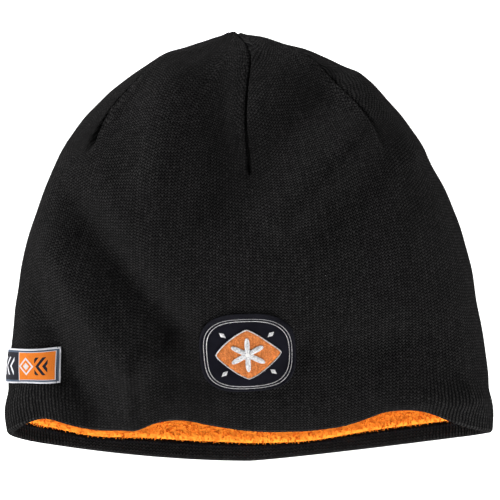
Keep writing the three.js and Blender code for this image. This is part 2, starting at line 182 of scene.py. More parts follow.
# %% [markdown]
# ## The rule of the cap's surface
#
# A point of the cloth is named by two numbers. `turn` goes once round the cap, from the middle of
# the front over the right side, and `rise` goes from the rim, 0, to the crown's tip, 1. Each level
# has a cross-section: a half arch above the side folds and a sagging half below them, which the
# floor presses flat. Naming points like this is what makes the rest easy, because the same two
# numbers place the lining, the patch, the label and every stitch.

# %% The cross-sections
QUARTER_STEPS = 160


def smooth(value):
    value = np.clip(value, 0, 1)
    return value * value * (3 - 2 * value)


def bump(distance, spread):
    return np.exp(-((distance / spread) ** 2))


def mix(a, b, share):
    return a + (b - a) * share


def table_value(table, column, rise):
    """A column of a table at some rise, by a cubic through its rows."""
    rises = [row["rise"] for row in table]
    values = [row[column] for row in table]
    last = len(rises) - 1
    i = min(int(np.searchsorted(rises, rise, side="right")) - 1, last - 1)
    slopes = []
    for k in (i, i + 1):
        low, high = max(0, k - 1), min(last, k + 1)
        slopes.append((values[high] - values[low]) / (rises[high] - rises[low]))
    span = rises[i + 1] - rises[i]
    t = (rise - rises[i]) / span
    bend = t * (1 - t) * ((1 - t) * slopes[0] - t * slopes[1]) * span
    return mix(values[i], values[i + 1], t * t * (3 - 2 * t)) + bend


def rest_on_floor(z):
    """The cloth can't go below the floor: a depth under it is laid flat, with a soft turn."""
    eased = (z + FLOOR_EASE) ** 2 / (4 * FLOOR_EASE)
    return np.where(z <= -FLOOR_EASE, 0.0, np.where(z >= FLOOR_EASE, z, eased))


def section(rise):
    """The closed cross-section at some rise: x, z, the length round to each point, and its top."""
    width = BODY_HALF_WIDTH * math.sqrt(1 - table_value(OUTLINE, "narrowing", rise))
    closing = math.sqrt(1 - rise**CROWN_POWER)
    side = table_value(SECTIONS, "side", rise) * CAP_THICKNESS
    arch = table_value(SECTIONS, "arch", rise) * CAP_THICKNESS * closing
    sag = (side + FLOOR_PRESS) * closing
    across = 1 - (1 - np.linspace(0, 1, QUARTER_STEPS + 1)) ** 2
    drop = np.sqrt(np.maximum(0, 1 - across ** table_value(SECTIONS, "fullness", rise)))
    front = rest_on_floor(side + arch * drop)
    back = rest_on_floor(side - sag * drop)
    x = width * np.concatenate([across, across[-2::-1], -across[1:], -across[-2::-1]])
    z = np.concatenate([front, back[-2::-1], back[1:], front[-2::-1]])
    lengths = np.concatenate([[0.0], np.cumsum(np.hypot(np.diff(x), np.diff(z)))])
    return x, z, lengths, side + arch


print("length round the rim, mm:", round(section(0.0)[2][-1], 1))


# %% The base surface, before folds and seams
def rim_wave(share):
    return FRONT_RIM_SETBACK * sum(
        wave["setback"] * bump(share - wave["at"], wave["spread"]) for wave in RIM_WAVES
    )


def base_row(turns, rise):
    """Places at one rise: x, y, z, how far on the front each is, its rim and the length round."""
    x, z, lengths, top = section(rise)
    wanted = np.mod(turns, 1.0) * lengths[-1]
    x = np.interp(wanted, lengths, x)
    z = np.interp(wanted, lengths, z)
    frontness = smooth(z / top)
    share = x / BODY_HALF_WIDTH
    left, right = (row["sweep"] * np.minimum(1, np.abs(share)) ** row["curve"] for row in BACK_RIM)
    back_rim = RIM_RADIUS + np.where(share < 0, left, right)
    front_rim = RIM_RADIUS + FRONT_RIM_SETBACK + rim_wave(share)
    rim = mix(back_rim, front_rim, frontness)
    lift = WAVE_LIFT * rim_wave(share) * frontness * bump(rise, WAVE_FADE)
    lean = table_value(OUTLINE, "lean", rise)
    place = np.stack([x + lean, mix(rim, CAP_LENGTH, rise), z + lift], axis=-1)
    return place, frontness, rim, lengths[-1]


STEP = 1e-4
POLE = 1 - 1e-3


def base_surface(turns, rises):
    """The base surface on a grid, with its outward normals and what the relief needs to know."""
    rows = []
    for rise in rises:
        place, frontness, rim, around = base_row(turns, rise)
        low, high = max(0.0, rise - STEP), min(POLE, rise + STEP)
        up = base_row(turns, high)[0] - base_row(turns, low)[0]
        round_it = base_row(turns + STEP, rise)[0] - base_row(turns - STEP, rise)[0]
        normal = np.cross(round_it, up)
        normal /= np.linalg.norm(normal, axis=-1, keepdims=True)
        rows.append((place, normal, frontness, rim, np.full(len(turns), around)))
    keys = ("place", "normal", "frontness", "rim", "around")
    surface = dict(zip(keys, (np.array(column) for column in zip(*rows))))
    surface["turn"] = np.broadcast_to(turns, surface["rim"].shape)
    surface["rise"] = np.broadcast_to(np.array(rises)[:, None], surface["rim"].shape)
    return surface


# %% [markdown]
# ## Folds, hem and seams as a relief
#
# Everything that makes the cloth look soft is a small shift along the surface's normal: swells and
# valleys of the front, the band that the doubled hem pushes out, the grooves of the darts. Near the
# floor the relief fades away, because the cap's own weight irons it out there.


# %% The relief
def fold_relief(place, frontness):
    total = np.zeros(frontness.shape)
    for fold in FOLDS:
        start = np.array([fold["x0"] * BODY_HALF_WIDTH, fold["y0"] * CAP_LENGTH])
        along = np.array([fold["x1"] * BODY_HALF_WIDTH, fold["y1"] * CAP_LENGTH]) - start
        here = place[..., :2] - start
        share = np.clip(here @ along / (along @ along), 0, 1)
        apart = np.linalg.norm(here - share[..., None] * along, axis=-1)
        total += fold["swell"] * CAP_THICKNESS * bump(apart, fold["spread"] * CAP_THICKNESS)
    return frontness * total


def hem_relief(from_rim):
    flare = HEM_FLARE * bump(from_rim - HEM_BAND * HEM_SWELL_AT, HEM_BAND * HEM_SWELL_AT)
    crease_at = HEM_BAND * HEM_CREASE_AT
    return flare - HEM_CREASE * bump(from_rim - crease_at, HEM_BAND * HEM_CREASE_SPREAD)


def from_seam(turns, around, seam):
    """The signed length round the section from a seam, positive towards growing turn."""
    return (np.mod(turns - seam["turn"] + 0.5, 1.0) - 0.5) * around


def seam_relief(surface, inside):
    total = np.zeros(surface["rim"].shape)
    y = surface["place"][..., 1]
    for seam in SEAMS:
        away = from_seam(surface["turn"], surface["around"], seam)
        above = y - seam["start"] * CAP_LENGTH
        strength = smooth(above / SEAM_RUN_OUT) * mix(1, SEAM_AT_TIP, surface["rise"] ** TIP_POWER)
        height = np.where(away * seam["lip"] > 0, SEAM_LIP, SEAM_PUFF)
        grown = mix(SEAM_PUFF_LOW, 1, smooth(above / SEAM_PUFF_GROWTH))
        puff = grown * height * bump(np.abs(away) - SEAM_PUFF_OFFSET, SEAM_PUFF_SPREAD)
        if inside:
            total += strength * (puff - seam["depth"] * bump(away, SEAM_SPREAD_INSIDE))
            continue
        lip = LIP_RISE * bump(away * seam["lip"] - LIP_OFFSET, LIP_SPREAD)
        gathers = PUCKER * np.sin(2 * np.pi * y / PUCKER_LENGTH + seam["turn"] * PUCKER_SHIFT)
        gathers = gathers * bump(np.abs(away) - PUCKER_REACH / 2, PUCKER_REACH / 2)
        spread = mix(SEAM_POCKET, SEAM_SPREAD, smooth(above / POCKET_LENGTH))
        total += strength * (puff + lip + gathers - seam["depth"] * bump(away, spread))
    return total


SLACK = [  # slow unevenness of a soft cloth: wavelengths across and along, height and start
    dict(across=61.0, along=83.0, height=0.28, start=0.4),
    dict(across=-37.0, along=52.0, height=0.2, start=2.1),
    dict(across=24.0, along=-31.0, height=0.12, start=4.4),
    dict(across=17.0, along=45.0, height=0.08, start=1.3),
]


def slack_relief(place):
    total = 0.0
    for wave in SLACK:
        phase = place[..., 0] / wave["across"] + place[..., 1] / wave["along"]
        total = total + wave["height"] * np.sin(2 * np.pi * phase + wave["start"])
    return total


def cloth(surface, depth=0.0, inside=False):
    """The cloth's places in millimetres. depth goes inwards from the outer face."""
    place = surface["place"]
    free = smooth(place[..., 2] / FREE_HEIGHT)
    relief = (
        fold_relief(place, surface["frontness"])
        + hem_relief(place[..., 1] - surface["rim"])
        + seam_relief(surface, inside)
        + slack_relief(place)
    )
    return place + surface["normal"] * (free * relief - depth)[..., None]


# %% [markdown]
# ## Where a stitch goes
#
# Most pieces are laid on the cloth at a place that is known as millimetres along it. So the surface
# is worked out once on a fine grid, and a place between its points is blended from the four round it.

# %% The fine grid and its look-up
GRID_TURNS = 1440
GRID_RISES = 420
HALVINGS = 24


def rises_between(first, last, count):
    """Rises that are even in angle, so that they crowd where the cloth turns over at the crown."""
    return np.sin(np.linspace(math.asin(first), math.asin(last), count))


grid_rises = rises_between(0.0, POLE, GRID_RISES)
grid = base_surface(np.arange(GRID_TURNS) / GRID_TURNS, grid_rises)
skin = cloth(grid)
skin_round = np.roll(skin, -1, axis=1) - np.roll(skin, 1, axis=1)
skin_up = np.gradient(skin, axis=0)
skin_normal = np.cross(skin_round, skin_up)
skin_normal /= np.linalg.norm(skin_normal, axis=-1, keepdims=True)
print("grid points:", skin.shape[0] * skin.shape[1])


def looked_up(values, turns, rises):
    """Values of the grid at any turn and rise, blended from the four points round the place."""
    column = np.mod(turns, 1.0) * GRID_TURNS
    row = np.arcsin(np.clip(rises, 0, POLE)) / math.asin(POLE) * (GRID_RISES - 1)
    i = np.clip(row.astype(int), 0, GRID_RISES - 2)
    j = column.astype(int) % GRID_TURNS
    k = (j + 1) % GRID_TURNS
    a, b = row - i, column - np.floor(column)
    if values.ndim == 3:
        a, b = a[..., None], b[..., None]
    low = mix(values[i, j], values[i, k], b)
    high = mix(values[i + 1, j], values[i + 1, k], b)
    return mix(low, high, a)


def rise_at_y(turns, y):
    """The rise at which the base surface passes a given y, found by halving."""
    low, high = np.zeros(turns.shape), np.full(turns.shape, POLE)
    base_y = grid["place"][..., 1]
    for _ in range(HALVINGS):
        middle = (low + high) / 2
        above = looked_up(base_y, turns, middle) > y
        low, high = np.where(above, low, middle), np.where(above, middle, high)
    return (low + high) / 2


def on_cloth(turns, rises, height=0.0):
    """Places at a height above the knit, and the directions away from the cloth there."""
    normal = looked_up(skin_normal, turns, rises)
    normal /= np.linalg.norm(normal, axis=-1, keepdims=True)
    place = looked_up(skin, turns, rises)
    return place + normal * np.asarray(height)[..., None], normal


# %% [markdown]
# ## From numbers to a mesh
#
# The part is centred over the origin once it is made, and so is everything here: the shift is the one
# that brings the knit onto its own solid. Every piece is built straight in the part's frame, so its
# object sits at the origin and a pattern on object coordinates can't slide.

# %% Helpers that make meshes
shell_low, shell_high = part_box("knit_shell")
SHIFT = np.array(
    [
        (shell_low.x + shell_high.x) / 2 / MM - (skin[..., 0].min() + skin[..., 0].max()) / 2,
        shell_low.y / MM,
        0.0,
    ]
)
print("shift of the frame, mm:", SHIFT.round(2))


def to_frame(places):
    """Millimetres on the cap to metres in the part's frame."""
    return (np.asarray(places, float) + SHIFT) * MM


def new_object(name, places, faces=(), edges=()):
    """A mesh object from places in millimetres."""
    mesh = bpy.data.meshes.new(name)
    mesh.from_pydata(to_frame(places).tolist(), list(edges), list(faces))
    mesh.polygons.foreach_set("use_smooth", [True] * len(mesh.polygons))
    mesh.update()
    made = bpy.data.objects.new(name, mesh)
    bpy.context.scene.collection.objects.link(made)
    return made


def triangle_count(made):
    return sum(len(polygon.vertices) - 2 for polygon in made.data.polygons)


def ring_faces(rings, count):
    """Quads between rings that are closed round, and a fan at each end to a single point."""
    columns = np.arange(count)
    following = (columns + 1) % count
    starts = 1 + count * np.arange(rings - 1)[:, None]
    here, there = starts + columns, starts + following
    quads = np.stack([c.ravel() for c in (here, there, there + count, here + count)], axis=1)
    last = 1 + count * (rings - 1)
    first_fan = np.stack([np.zeros(count, int), following + 1, columns + 1], axis=1)
    last_fan = np.stack([last + columns, last + following, np.full(count, last + count)], axis=1)
    return first_fan, quads, last_fan


def closed_skin(name, rings):
    """A closed mesh through rings of equal size, with a point at each end. Faces point outwards."""
    count = len(rings[0])
    places = np.concatenate([[rings[0].mean(axis=0)], *rings, [rings[-1].mean(axis=0)]])
    first_fan, quads, last_fan = ring_faces(len(rings), count)
    a, b, c, d = (places[quads[:, k]] for k in range(4))
    volume = (a * np.cross(b, c)).sum() + (a * np.cross(c, d)).sum()
    order = slice(None) if volume > 0 else slice(None, None, -1)
    faces = [*first_fan[:, order].tolist(), *quads[:, order].tolist(), *last_fan[:, order].tolist()]
    return new_object(name, places, faces)


def corner_vertices(made):
    """The vertex at each corner of each face, in a UV map's order."""
    corners = np.zeros(len(made.data.loops), int)
    made.data.loops.foreach_get("vertex_index", corners)
    return corners


def write_map(made, name, places):
    """A UV map from a place for each corner."""
    layer = made.data.uv_layers.new(name=name)
    layer.data.foreach_set("uv", np.asarray(places, np.float32).ravel())


# %% [markdown]
# ## The knit shell
#
# On the real cap this is one layer of weft knit, turned in at the rim, so its mesh is one closed
# skin: down the outside from the crown, round the rim, up the turned-in hem, and back up inside.
# Its columns crowd beside the darts, where the groove needs them. Modelling half a million loops of
# yarn would be too heavy for a reusable part, so the loops come in the material, and the mesh
# carries their coordinates in a UV map whose unit is one stitch.

# %% Columns of the shell
PANEL_COLUMNS = dict(front=88, back=150)
CROWDING = 0.75


def panel_shares(count):
    """Shares across a panel that crowd towards both of its seams."""
    even = np.arange(count) / count
    return even - CROWDING * np.sin(2 * np.pi * even) / (2 * np.pi)


seam_turns = [seam["turn"] for seam in SEAMS] + [SEAMS[0]["turn"] + 1]
shell_turns = []
panel_middles = []
for k, kind in enumerate(["front", "back", "back", "front"]):
    shares = panel_shares(PANEL_COLUMNS[kind])
    shell_turns.append(mix(seam_turns[k], seam_turns[k + 1], shares))
    panel_middles.append(np.full(len(shares), (seam_turns[k] + seam_turns[k + 1]) / 2))
shell_turns = np.concatenate(shell_turns)
panel_middles = np.concatenate(panel_middles)
print("columns round the shell:", len(shell_turns))

# %% [markdown]
# The stitch map: below the darts a column of stitches, a wale, keeps its place round the cap. Above
# their start each panel keeps its wales straight along its own middle, and the seam cuts them off at
# a slant, which is why the wales of two panels meet in a chevron.

# %% The shell's mesh and its stitch map
WALE = 1.64  # width of one column of stitches
COURSE = 1.54  # height of one row of stitches
OUTER_ROWS = 132
RIM_STEPS = 7
INNER_ROWS = 52
FACING_ROWS = 6
DART_START = 0.69
DART_BLEND = 0.08
ROLL = 5.5  # how far from a dart the cloth rolls towards it on its proud side
ROLL_SLOPE = 1.1
BOW_LIMIT = 8.0

around_by_rise = grid["around"][:, 0]
AROUND_RIM = around_by_rise[0]
WALES = round(AROUND_RIM / WALE)


def wale_at(turns, rises, middles):
    """The number of the wale at a place, counted from the middle of the front."""
    around = np.interp(rises, grid_rises, around_by_rise)
    at_dart = np.interp(DART_START, grid_rises, around_by_rise)
    kept = np.minimum(1.0, around / at_dart)
    return (middles + (turns - middles) * kept) * WALES


def course_shift(turns, rises, middles):
    """How far a course has sunk below its panel's middle, in millimetres.

    A panel is flat before it is sewn, so its courses stay square to its own middle and sink
    towards its seams. Beside a dart, the cloth that rolls under carries them up again.
    """
    around = np.interp(rises, grid_rises, around_by_rise)
    narrowing = np.gradient(around_by_rise, grid["place"][:, 0, 1])
    steepness = np.minimum(BOW_LIMIT, -np.interp(rises, grid_rises, narrowing))
    closed = smooth((rises - DART_START) / DART_BLEND)
    shift = closed * steepness * around * (turns - middles) ** 2 / 2
    for seam in SEAMS:
        away = from_seam(turns, around, seam) * seam["lip"]
        shift -= closed * ROLL_SLOPE * np.where(away > 0, np.maximum(0, ROLL - away), 0)
    return shift


FACING_DIPS = [  # where the turned-in hem is narrower than elsewhere
    dict(at=-0.65, spread=0.15, depth=1.9),
    dict(at=0.24, spread=0.2, depth=2.0),
]
DIP_FADE = 30.0


def dip_facing(places, surface):
    """Inner places near the hem, drawn towards the rim where the turned-in hem is narrower."""
    share = surface["place"][..., 0] / BODY_HALF_WIDTH
    depth = sum(dip["depth"] * bump(share - dip["at"], dip["spread"]) for dip in FACING_DIPS)
    up = surface["rise"] * CAP_LENGTH
    fade = np.where(up < HEM_TURN, up / HEM_TURN, bump(up - HEM_TURN, DIP_FADE))
    dipped = places.copy()
    dipped[..., 1] -= (1 - surface["frontness"]) * depth * fade
    return dipped


def inside_cloth(turns, rises, depth, inside=True):
    """The base surface on a grid, and places inside it that follow the turned-in hem's width."""
    surface = base_surface(turns, rises)
    return surface, dip_facing(cloth(surface, depth, inside), surface)


def lengths_up(rows):
    """The length along the cloth from the first ring to each ring, for every column."""
    steps = np.linalg.norm(np.diff(rows, axis=0), axis=-1)
    return np.concatenate([np.zeros((1, rows.shape[1])), np.cumsum(steps, axis=0)])


hem_rise = HEM_TURN / CAP_LENGTH
outer_rises = rises_between(0.0, POLE, OUTER_ROWS)
outer = cloth(base_surface(shell_turns, outer_rises))
edge_surface = base_surface(shell_turns, [0.0, STEP])
edge_up = np.diff(cloth(edge_surface), axis=0)[0]
edge_up /= np.linalg.norm(edge_up, axis=-1, keepdims=True)
rim = []
for share in np.arange(1, RIM_STEPS) / RIM_STEPS:
    inwards = RIM_RADIUS * (1 - math.cos(math.pi * share))
    row = {key: value[:1] for key, value in edge_surface.items()}
    rim.append(cloth(row, inwards)[0] - edge_up * RIM_RADIUS * math.sin(math.pi * share))
facing_rises = np.linspace(0.0, hem_rise, FACING_ROWS)
facing = inside_cloth(shell_turns, facing_rises, HEM_THICKNESS, inside=False)[1]
inner_rises = rises_between(hem_rise, POLE, INNER_ROWS)
inner = inside_cloth(shell_turns, inner_rises, KNIT_WALL)[1]

shell_rings = [*outer[::-1], *rim, *facing, *inner]
knit_shell = closed_skin("knitted_shell", shell_rings)
print("shell triangles:", triangle_count(knit_shell))

# %% The stitch map is written to the mesh
outer_v = lengths_up(outer)
under = lengths_up(np.array([outer[0], *rim, *facing, *inner]))[1:]
ring_v = np.concatenate([outer_v[::-1], -under])
ring_rises = np.concatenate([outer_rises[::-1], np.zeros(len(rim)), facing_rises, inner_rises])


def write_stitch_map(made, turns, middles, rises, lengths):
    """A UV map in stitches. A face takes both of its columns from the panel that it lies in."""
    count, rings = len(turns), len(rises)
    corners = corner_vertices(made)
    sizes = [polygon.loop_total for polygon in made.data.polygons]
    owner = np.repeat(np.arange(len(sizes)), sizes)
    column = (corners - 1) % count
    ring = np.clip((corners - 1) // count, 0, rings - 1)
    at_end = (corners == 0) | (corners == rings * count + 1)
    low = np.full(len(sizes), count)
    high = np.full(len(sizes), -1)
    np.minimum.at(low, owner[~at_end], column[~at_end])
    np.maximum.at(high, owner[~at_end], column[~at_end])
    wraps = (low == 0) & (high == count - 1)
    left = np.where(wraps, count - 1, low)[owner]
    turn = turns[column] + np.where(wraps[owner] & (column == 0), 1.0, 0.0)
    turn = np.where(at_end, turns[left], turn)
    u = wale_at(turn, rises[ring], middles[left])
    v = (lengths[ring, column] + course_shift(turn, rises[ring], middles[left])) / COURSE
    write_map(made, "stitches", np.stack([u, v], axis=1))


write_stitch_map(knit_shell, shell_turns, panel_middles, ring_rises, ring_v)
print("wales round the rim:", WALES, "courses up the front:", int(outer_v[-1, 0] / COURSE))

# %% [markdown]
# ## The fleece lining
#
# Fleece is a knit whose back is brushed into a pile. It is too dense to build fibre by fibre, so the
# lining is a closed dome whose inner face is lumpy, as brushed pile is, and tufts of real fibres
# stand on the part near the mouth, where they can be seen one by one.

# %% A noise that gives the same lumps each time
LATTICE = 32
LATTICE_SEED = 7
lattice = np.random.RandomState(LATTICE_SEED).rand(LATTICE, LATTICE, LATTICE)


def lumps(places, size):
    """Smooth noise from -1 to 1 with lumps of about that size in millimetres."""
    scaled = places / size
    cell = np.floor(scaled).astype(int)
    t = scaled - cell
    t = t * t * (3 - 2 * t)
    total = np.zeros(places.shape[:-1])
    for corner in np.ndindex(2, 2, 2):
        weight = np.prod(np.where(np.array(corner) == 1, t, 1 - t), axis=-1)
        i, j, k = np.moveaxis((cell + corner) % LATTICE, -1, 0)
        total += weight * lattice[i, j, k]
    return 2 * total - 1


# %% The lining's mesh
LINING_COLUMNS = 330
LINING_ROWS = 96
LINING_OUTER_ROWS = 52
PILE_LUMP = 3.2
PILE_FINER = 0.5  # how high the lumps of half that size are beside them
PILE_HEIGHT = 0.22
PILE_FADE = 0.02  # the share of the rise over which the lumps fade out at the crown's tip

lining_turns = np.arange(LINING_COLUMNS) / LINING_COLUMNS
lining_start = (HEM_TURN + PIECE_GAP) / CAP_LENGTH
lining_rises = rises_between(lining_start, POLE, LINING_ROWS)
lining_depth = KNIT_WALL + PIECE_GAP
lining_surface, flat_inner = inside_cloth(lining_turns, lining_rises, lining_depth + FLEECE_WALL)
pile = lumps(flat_inner, PILE_LUMP) + PILE_FINER * lumps(flat_inner, PILE_LUMP / 2)
fading = np.minimum(1, (1 - lining_surface["rise"]) / PILE_FADE)
lining_inner = flat_inner - lining_surface["normal"] * (PILE_HEIGHT * pile * fading)[..., None]
lining_outer_rises = rises_between(lining_start, POLE, LINING_OUTER_ROWS)
lining_outer = inside_cloth(lining_turns, lining_outer_rises, lining_depth)[1]
edge_middle = (lining_inner[0] + lining_outer[0]) / 2
lining_rings = [*lining_inner[::-1], edge_middle, *lining_outer]
fleece = closed_skin("fleece_dome", lining_rings)
print("lining triangles:", triangle_count(fleece))

# %% [markdown]
# ## Node trees
#
# Two kinds of tree follow: shader groups, which give a pattern to a material, and geometry trees,
# which make what repeats. Both are graphs of small nodes, so a few helpers keep them readable.

# %% Helpers for node trees
def add(tree, kind, inputs=None, **settings):
    """A node with its settings. An input is a value, or another node's output to link."""
    made = tree.nodes.new(kind)
    for key, value in settings.items():
        setattr(made, key, value)
    for key, value in (inputs or {}).items():
        if isinstance(value, bpy.types.NodeSocket):
            tree.links.new(value, made.inputs[key])
        else:
            made.inputs[key].default_value = value
    return made


def calculator(tree):
    """A function that adds a Math node and gives its output."""

    def calculate(operation, *values):
        inputs = dict(enumerate(values))
        return add(tree, "ShaderNodeMath", inputs, operation=operation).outputs[0]

    return calculate


def new_tree(name, kind, inputs, outputs):
    """A node group. inputs and outputs are rows of a socket's name, type and, for inputs, value."""
    tree = bpy.data.node_groups.new(name, kind)
    for socket_name, socket_type, value in inputs:
        socket = tree.interface.new_socket(socket_name, in_out="INPUT", socket_type=socket_type)
        if value is not None:
            socket.default_value = value
    for socket_name, socket_type in outputs:
        tree.interface.new_socket(socket_name, in_out="OUTPUT", socket_type=socket_type)
    given = tree.nodes.new("NodeGroupInput").outputs
    result = tree.nodes.new("NodeGroupOutput").inputs
    return tree, given, result


def new_material(name, roughness, **settings):
    """A material with a Principled BSDF, whose plain settings go straight on its sockets."""
    material = bpy.data.materials.new(name)
    material.use_nodes = True
    shader = material.node_tree.nodes["Principled BSDF"]
    shader.inputs["Roughness"].default_value = roughness
    for key, value in settings.items():
        shader.inputs[key.replace("_", " ")].default_value = value
    return material, material.node_tree, shader


def mixed(tree, factor, low, high):
    """A colour between two others."""
    made = add(tree, "ShaderNodeMix", {"Factor": factor}, data_type="RGBA")
    for index, value in ((6, low), (7, high)):
        if isinstance(value, bpy.types.NodeSocket):
            tree.links.new(value, made.inputs[index])
        else:
            made.inputs[index].default_value = (*value, 1.0)
    return made.outputs[2]


def relief(tree, shader, height, distance):
    """Bump from a height, with the real depth of the pattern in metres."""
    made = add(tree, "ShaderNodeBump", {"Strength": 1.0, "Distance": distance, "Height": height})
    tree.links.new(made.outputs["Normal"], shader.inputs["Normal"])


# %% [markdown]
# ## Pattern: unevenness
#
# No cloth is one flat colour. Dye takes unevenly, and pile leans one way or another. This group
# gives a slow and a fast noise on object coordinates, and every material here uses it.

# %% The unevenness group
FLOAT = "NodeSocketFloat"
VECTOR = "NodeSocketVector"
unevenness, given, result = new_tree(
    "Cloth unevenness",
    "ShaderNodeTree",
    [("Vector", VECTOR, None), ("Slow Size", FLOAT, 0.02), ("Fast Size", FLOAT, 0.001)],
    [("Slow", FLOAT), ("Fast", FLOAT)],
)
calc = calculator(unevenness)
for size, output, detail in (("Slow Size", "Slow", 2.0), ("Fast Size", "Fast", 3.0)):
    noise = add(
        unevenness,
        "ShaderNodeTexNoise",
        {"Vector": given["Vector"], "Scale": calc("DIVIDE", 1.0, given[size]), "Detail": detail},
    )
    unevenness.links.new(noise.outputs["Fac"], result[output])
print("unevenness nodes:", len(unevenness.nodes))


def add_unevenness(tree, slow, fast):
    place = add(tree, "ShaderNodeTexCoord").outputs["Object"]
    made = add(tree, "ShaderNodeGroup", node_tree=unevenness)
    tree.links.new(place, made.inputs["Vector"])
    made.inputs["Slow Size"].default_value = slow
    made.inputs["Fast Size"].default_value = fast
    return made.outputs["Slow"], made.outputs["Fast"]


# %% [markdown]
# ## Pattern: the knit
#
# A face stitch of weft knit looks like a V: two legs of yarn that lean out from the middle of the
# wale, each lying over the stitch above. In stitch coordinates that is easy to say. Across a wale,
# each half holds one leg with a round back. Along it, each leg is cut into beads of one stitch, and
# the cut slants. The group gives the height of the yarn, which serves as bump and as shade.

# %% The stitch group
stitches, given, result = new_tree(
    "Knit stitches",
    "ShaderNodeTree",
    [
        ("Stitches", VECTOR, None),
        ("Rib", FLOAT, 0.0),
        ("Slant", FLOAT, 0.7),
        ("Bead", FLOAT, 0.92),
        ("Unevenness", FLOAT, 0.18),
        ("Streak", FLOAT, 0.08),
    ],
    [("Height", FLOAT)],
)
calc = calculator(stitches)
parts = add(stitches, "ShaderNodeSeparateXYZ", {0: given["Stitches"]})
across_wale = calc("FRACT", parts.outputs["X"])
half = calc("MULTIPLY", calc("ABSOLUTE", calc("SUBTRACT", across_wale, 0.5)), 2.0)
leg = calc("SUBTRACT", 1.0, calc("MULTIPLY", calc("POWER", half, 1.5), given["Rib"]))
slanted = calc("SUBTRACT", parts.outputs["Y"], calc("MULTIPLY", half, given["Slant"]))
bead = calc("SINE", calc("MULTIPLY", calc("FRACT", slanted), math.pi))
cut = calc("MULTIPLY", given["Bead"], calc("SUBTRACT", 1.0, given["Rib"]))
beaded = calc("ADD", calc("SUBTRACT", 1.0, cut), calc("MULTIPLY", bead, cut))
own_stitch = add(
    stitches,
    "ShaderNodeCombineXYZ",
    {"X": calc("FLOOR", parts.outputs["X"]), "Y": calc("FLOOR", slanted)},
)
chance = add(stitches, "ShaderNodeTexWhiteNoise", {"Vector": own_stitch.outputs[0]}).outputs["Value"]
wale = calc("FLOOR", parts.outputs["X"])
stretch_of_wale = calc("ADD", calc("DIVIDE", parts.outputs["Y"], 9.0), calc("MULTIPLY", wale, 0.37))
own_streak = add(
    stitches, "ShaderNodeCombineXYZ", {"X": wale, "Y": calc("FLOOR", stretch_of_wale), "Z": 7.0}
)
streak = add(stitches, "ShaderNodeTexWhiteNoise", {"Vector": own_streak.outputs[0]}).outputs["Value"]
uneven = calc("SUBTRACT", 1.0, calc("MULTIPLY", chance, given["Unevenness"]))
streaky = calc("SUBTRACT", 1.0, calc("MULTIPLY", streak, given["Streak"]))
own_height = calc("MULTIPLY", uneven, streaky)
stitches.links.new(calc("MULTIPLY", calc("MULTIPLY", leg, beaded), own_height), result["Height"])
print("stitch nodes:", len(stitches.nodes))

# %% Material: black knit
RIB_COURSES = 17.0  # above the rim, at the sides, the pulled wales show as ribs
KNIT_YARN = (0.0049, 0.0048, 0.0048)
KNIT_WORN = (0.0063, 0.0061, 0.0062)
# painted shade: the colour deep in the gaps between the loops, where shade falls
KNIT_GAP_SHADE = (0.0003, 0.0003, 0.0004)
FACING_PAINTED_LIGHT = 0.6  # painted light: the turned-in cloth is made lighter where the front's arch shades it

KNIT_WANDER = (0.7, 0.9, 0.0)  # how far a stitch strays, in stitches
PULLED_FROM = 0.078  # the wales are pulled from here to the sides, over the length below
PULLED_OVER = 0.02
KNIT_CONTRAST = 2.7
KNIT_GAIN = 3.8
KNIT_BRIGHTEST = 4.5
KNIT_RELIEF = 0.0005

knit_material, tree, shader = new_material(
    "black_knit", 0.88, Specular_IOR_Level=0.0, Sheen_Weight=0.004, Sheen_Roughness=0.5
)
stitch_place = add(tree, "ShaderNodeUVMap", uv_map="stitches").outputs["UV"]
wander = add(
    tree,
    "ShaderNodeTexNoise",
    {"Vector": add(tree, "ShaderNodeTexCoord").outputs["Object"], "Scale": 260.0, "Detail": 1.0},
)
stray = wander.outputs["Color"]
for operation, value in (("SUBTRACT", (0.5, 0.5, 0.5)), ("MULTIPLY", KNIT_WANDER), ("ADD", stitch_place)):
    stray = add(tree, "ShaderNodeVectorMath", {0: stray, 1: value}, operation=operation).outputs[0]
stitch_place = stray
knit_pattern = add(tree, "ShaderNodeGroup", node_tree=stitches)
tree.links.new(stitch_place, knit_pattern.inputs["Stitches"])
calc = calculator(tree)
side_place = add(tree, "ShaderNodeSeparateXYZ", {0: add(tree, "ShaderNodeTexCoord").outputs["Object"]})
hem_place = add(tree, "ShaderNodeSeparateXYZ", {0: stitch_place})
sideways = calc("ABSOLUTE", side_place.outputs["X"])
near_side = calc("DIVIDE", calc("SUBTRACT", sideways, PULLED_FROM), PULLED_OVER)
near_rim = calc("DIVIDE", calc("SUBTRACT", RIB_COURSES, calc("ABSOLUTE", hem_place.outputs["Y"])), 7.0)
clamped = [calc("MINIMUM", calc("MAXIMUM", value, 0.0), 1.0) for value in (near_side, near_rim)]
pulled = calc("ADD", calc("MULTIPLY", calc("MULTIPLY", *clamped), 0.35), 0.25)
tree.links.new(pulled, knit_pattern.inputs["Rib"])
slow, fast = add_unevenness(tree, 0.03, 0.0007)
yarn = mixed(tree, slow, KNIT_YARN, KNIT_WORN)
# The stitch height becomes colour: painted shade in the gaps between the loops, painted light on their crowns
depth_shade = calc("MULTIPLY", calc("POWER", knit_pattern.outputs["Height"], KNIT_CONTRAST), KNIT_GAIN)
depth_shade = calc("MULTIPLY", depth_shade, calc("ADD", calc("MULTIPLY", fast, 0.4), 0.8))
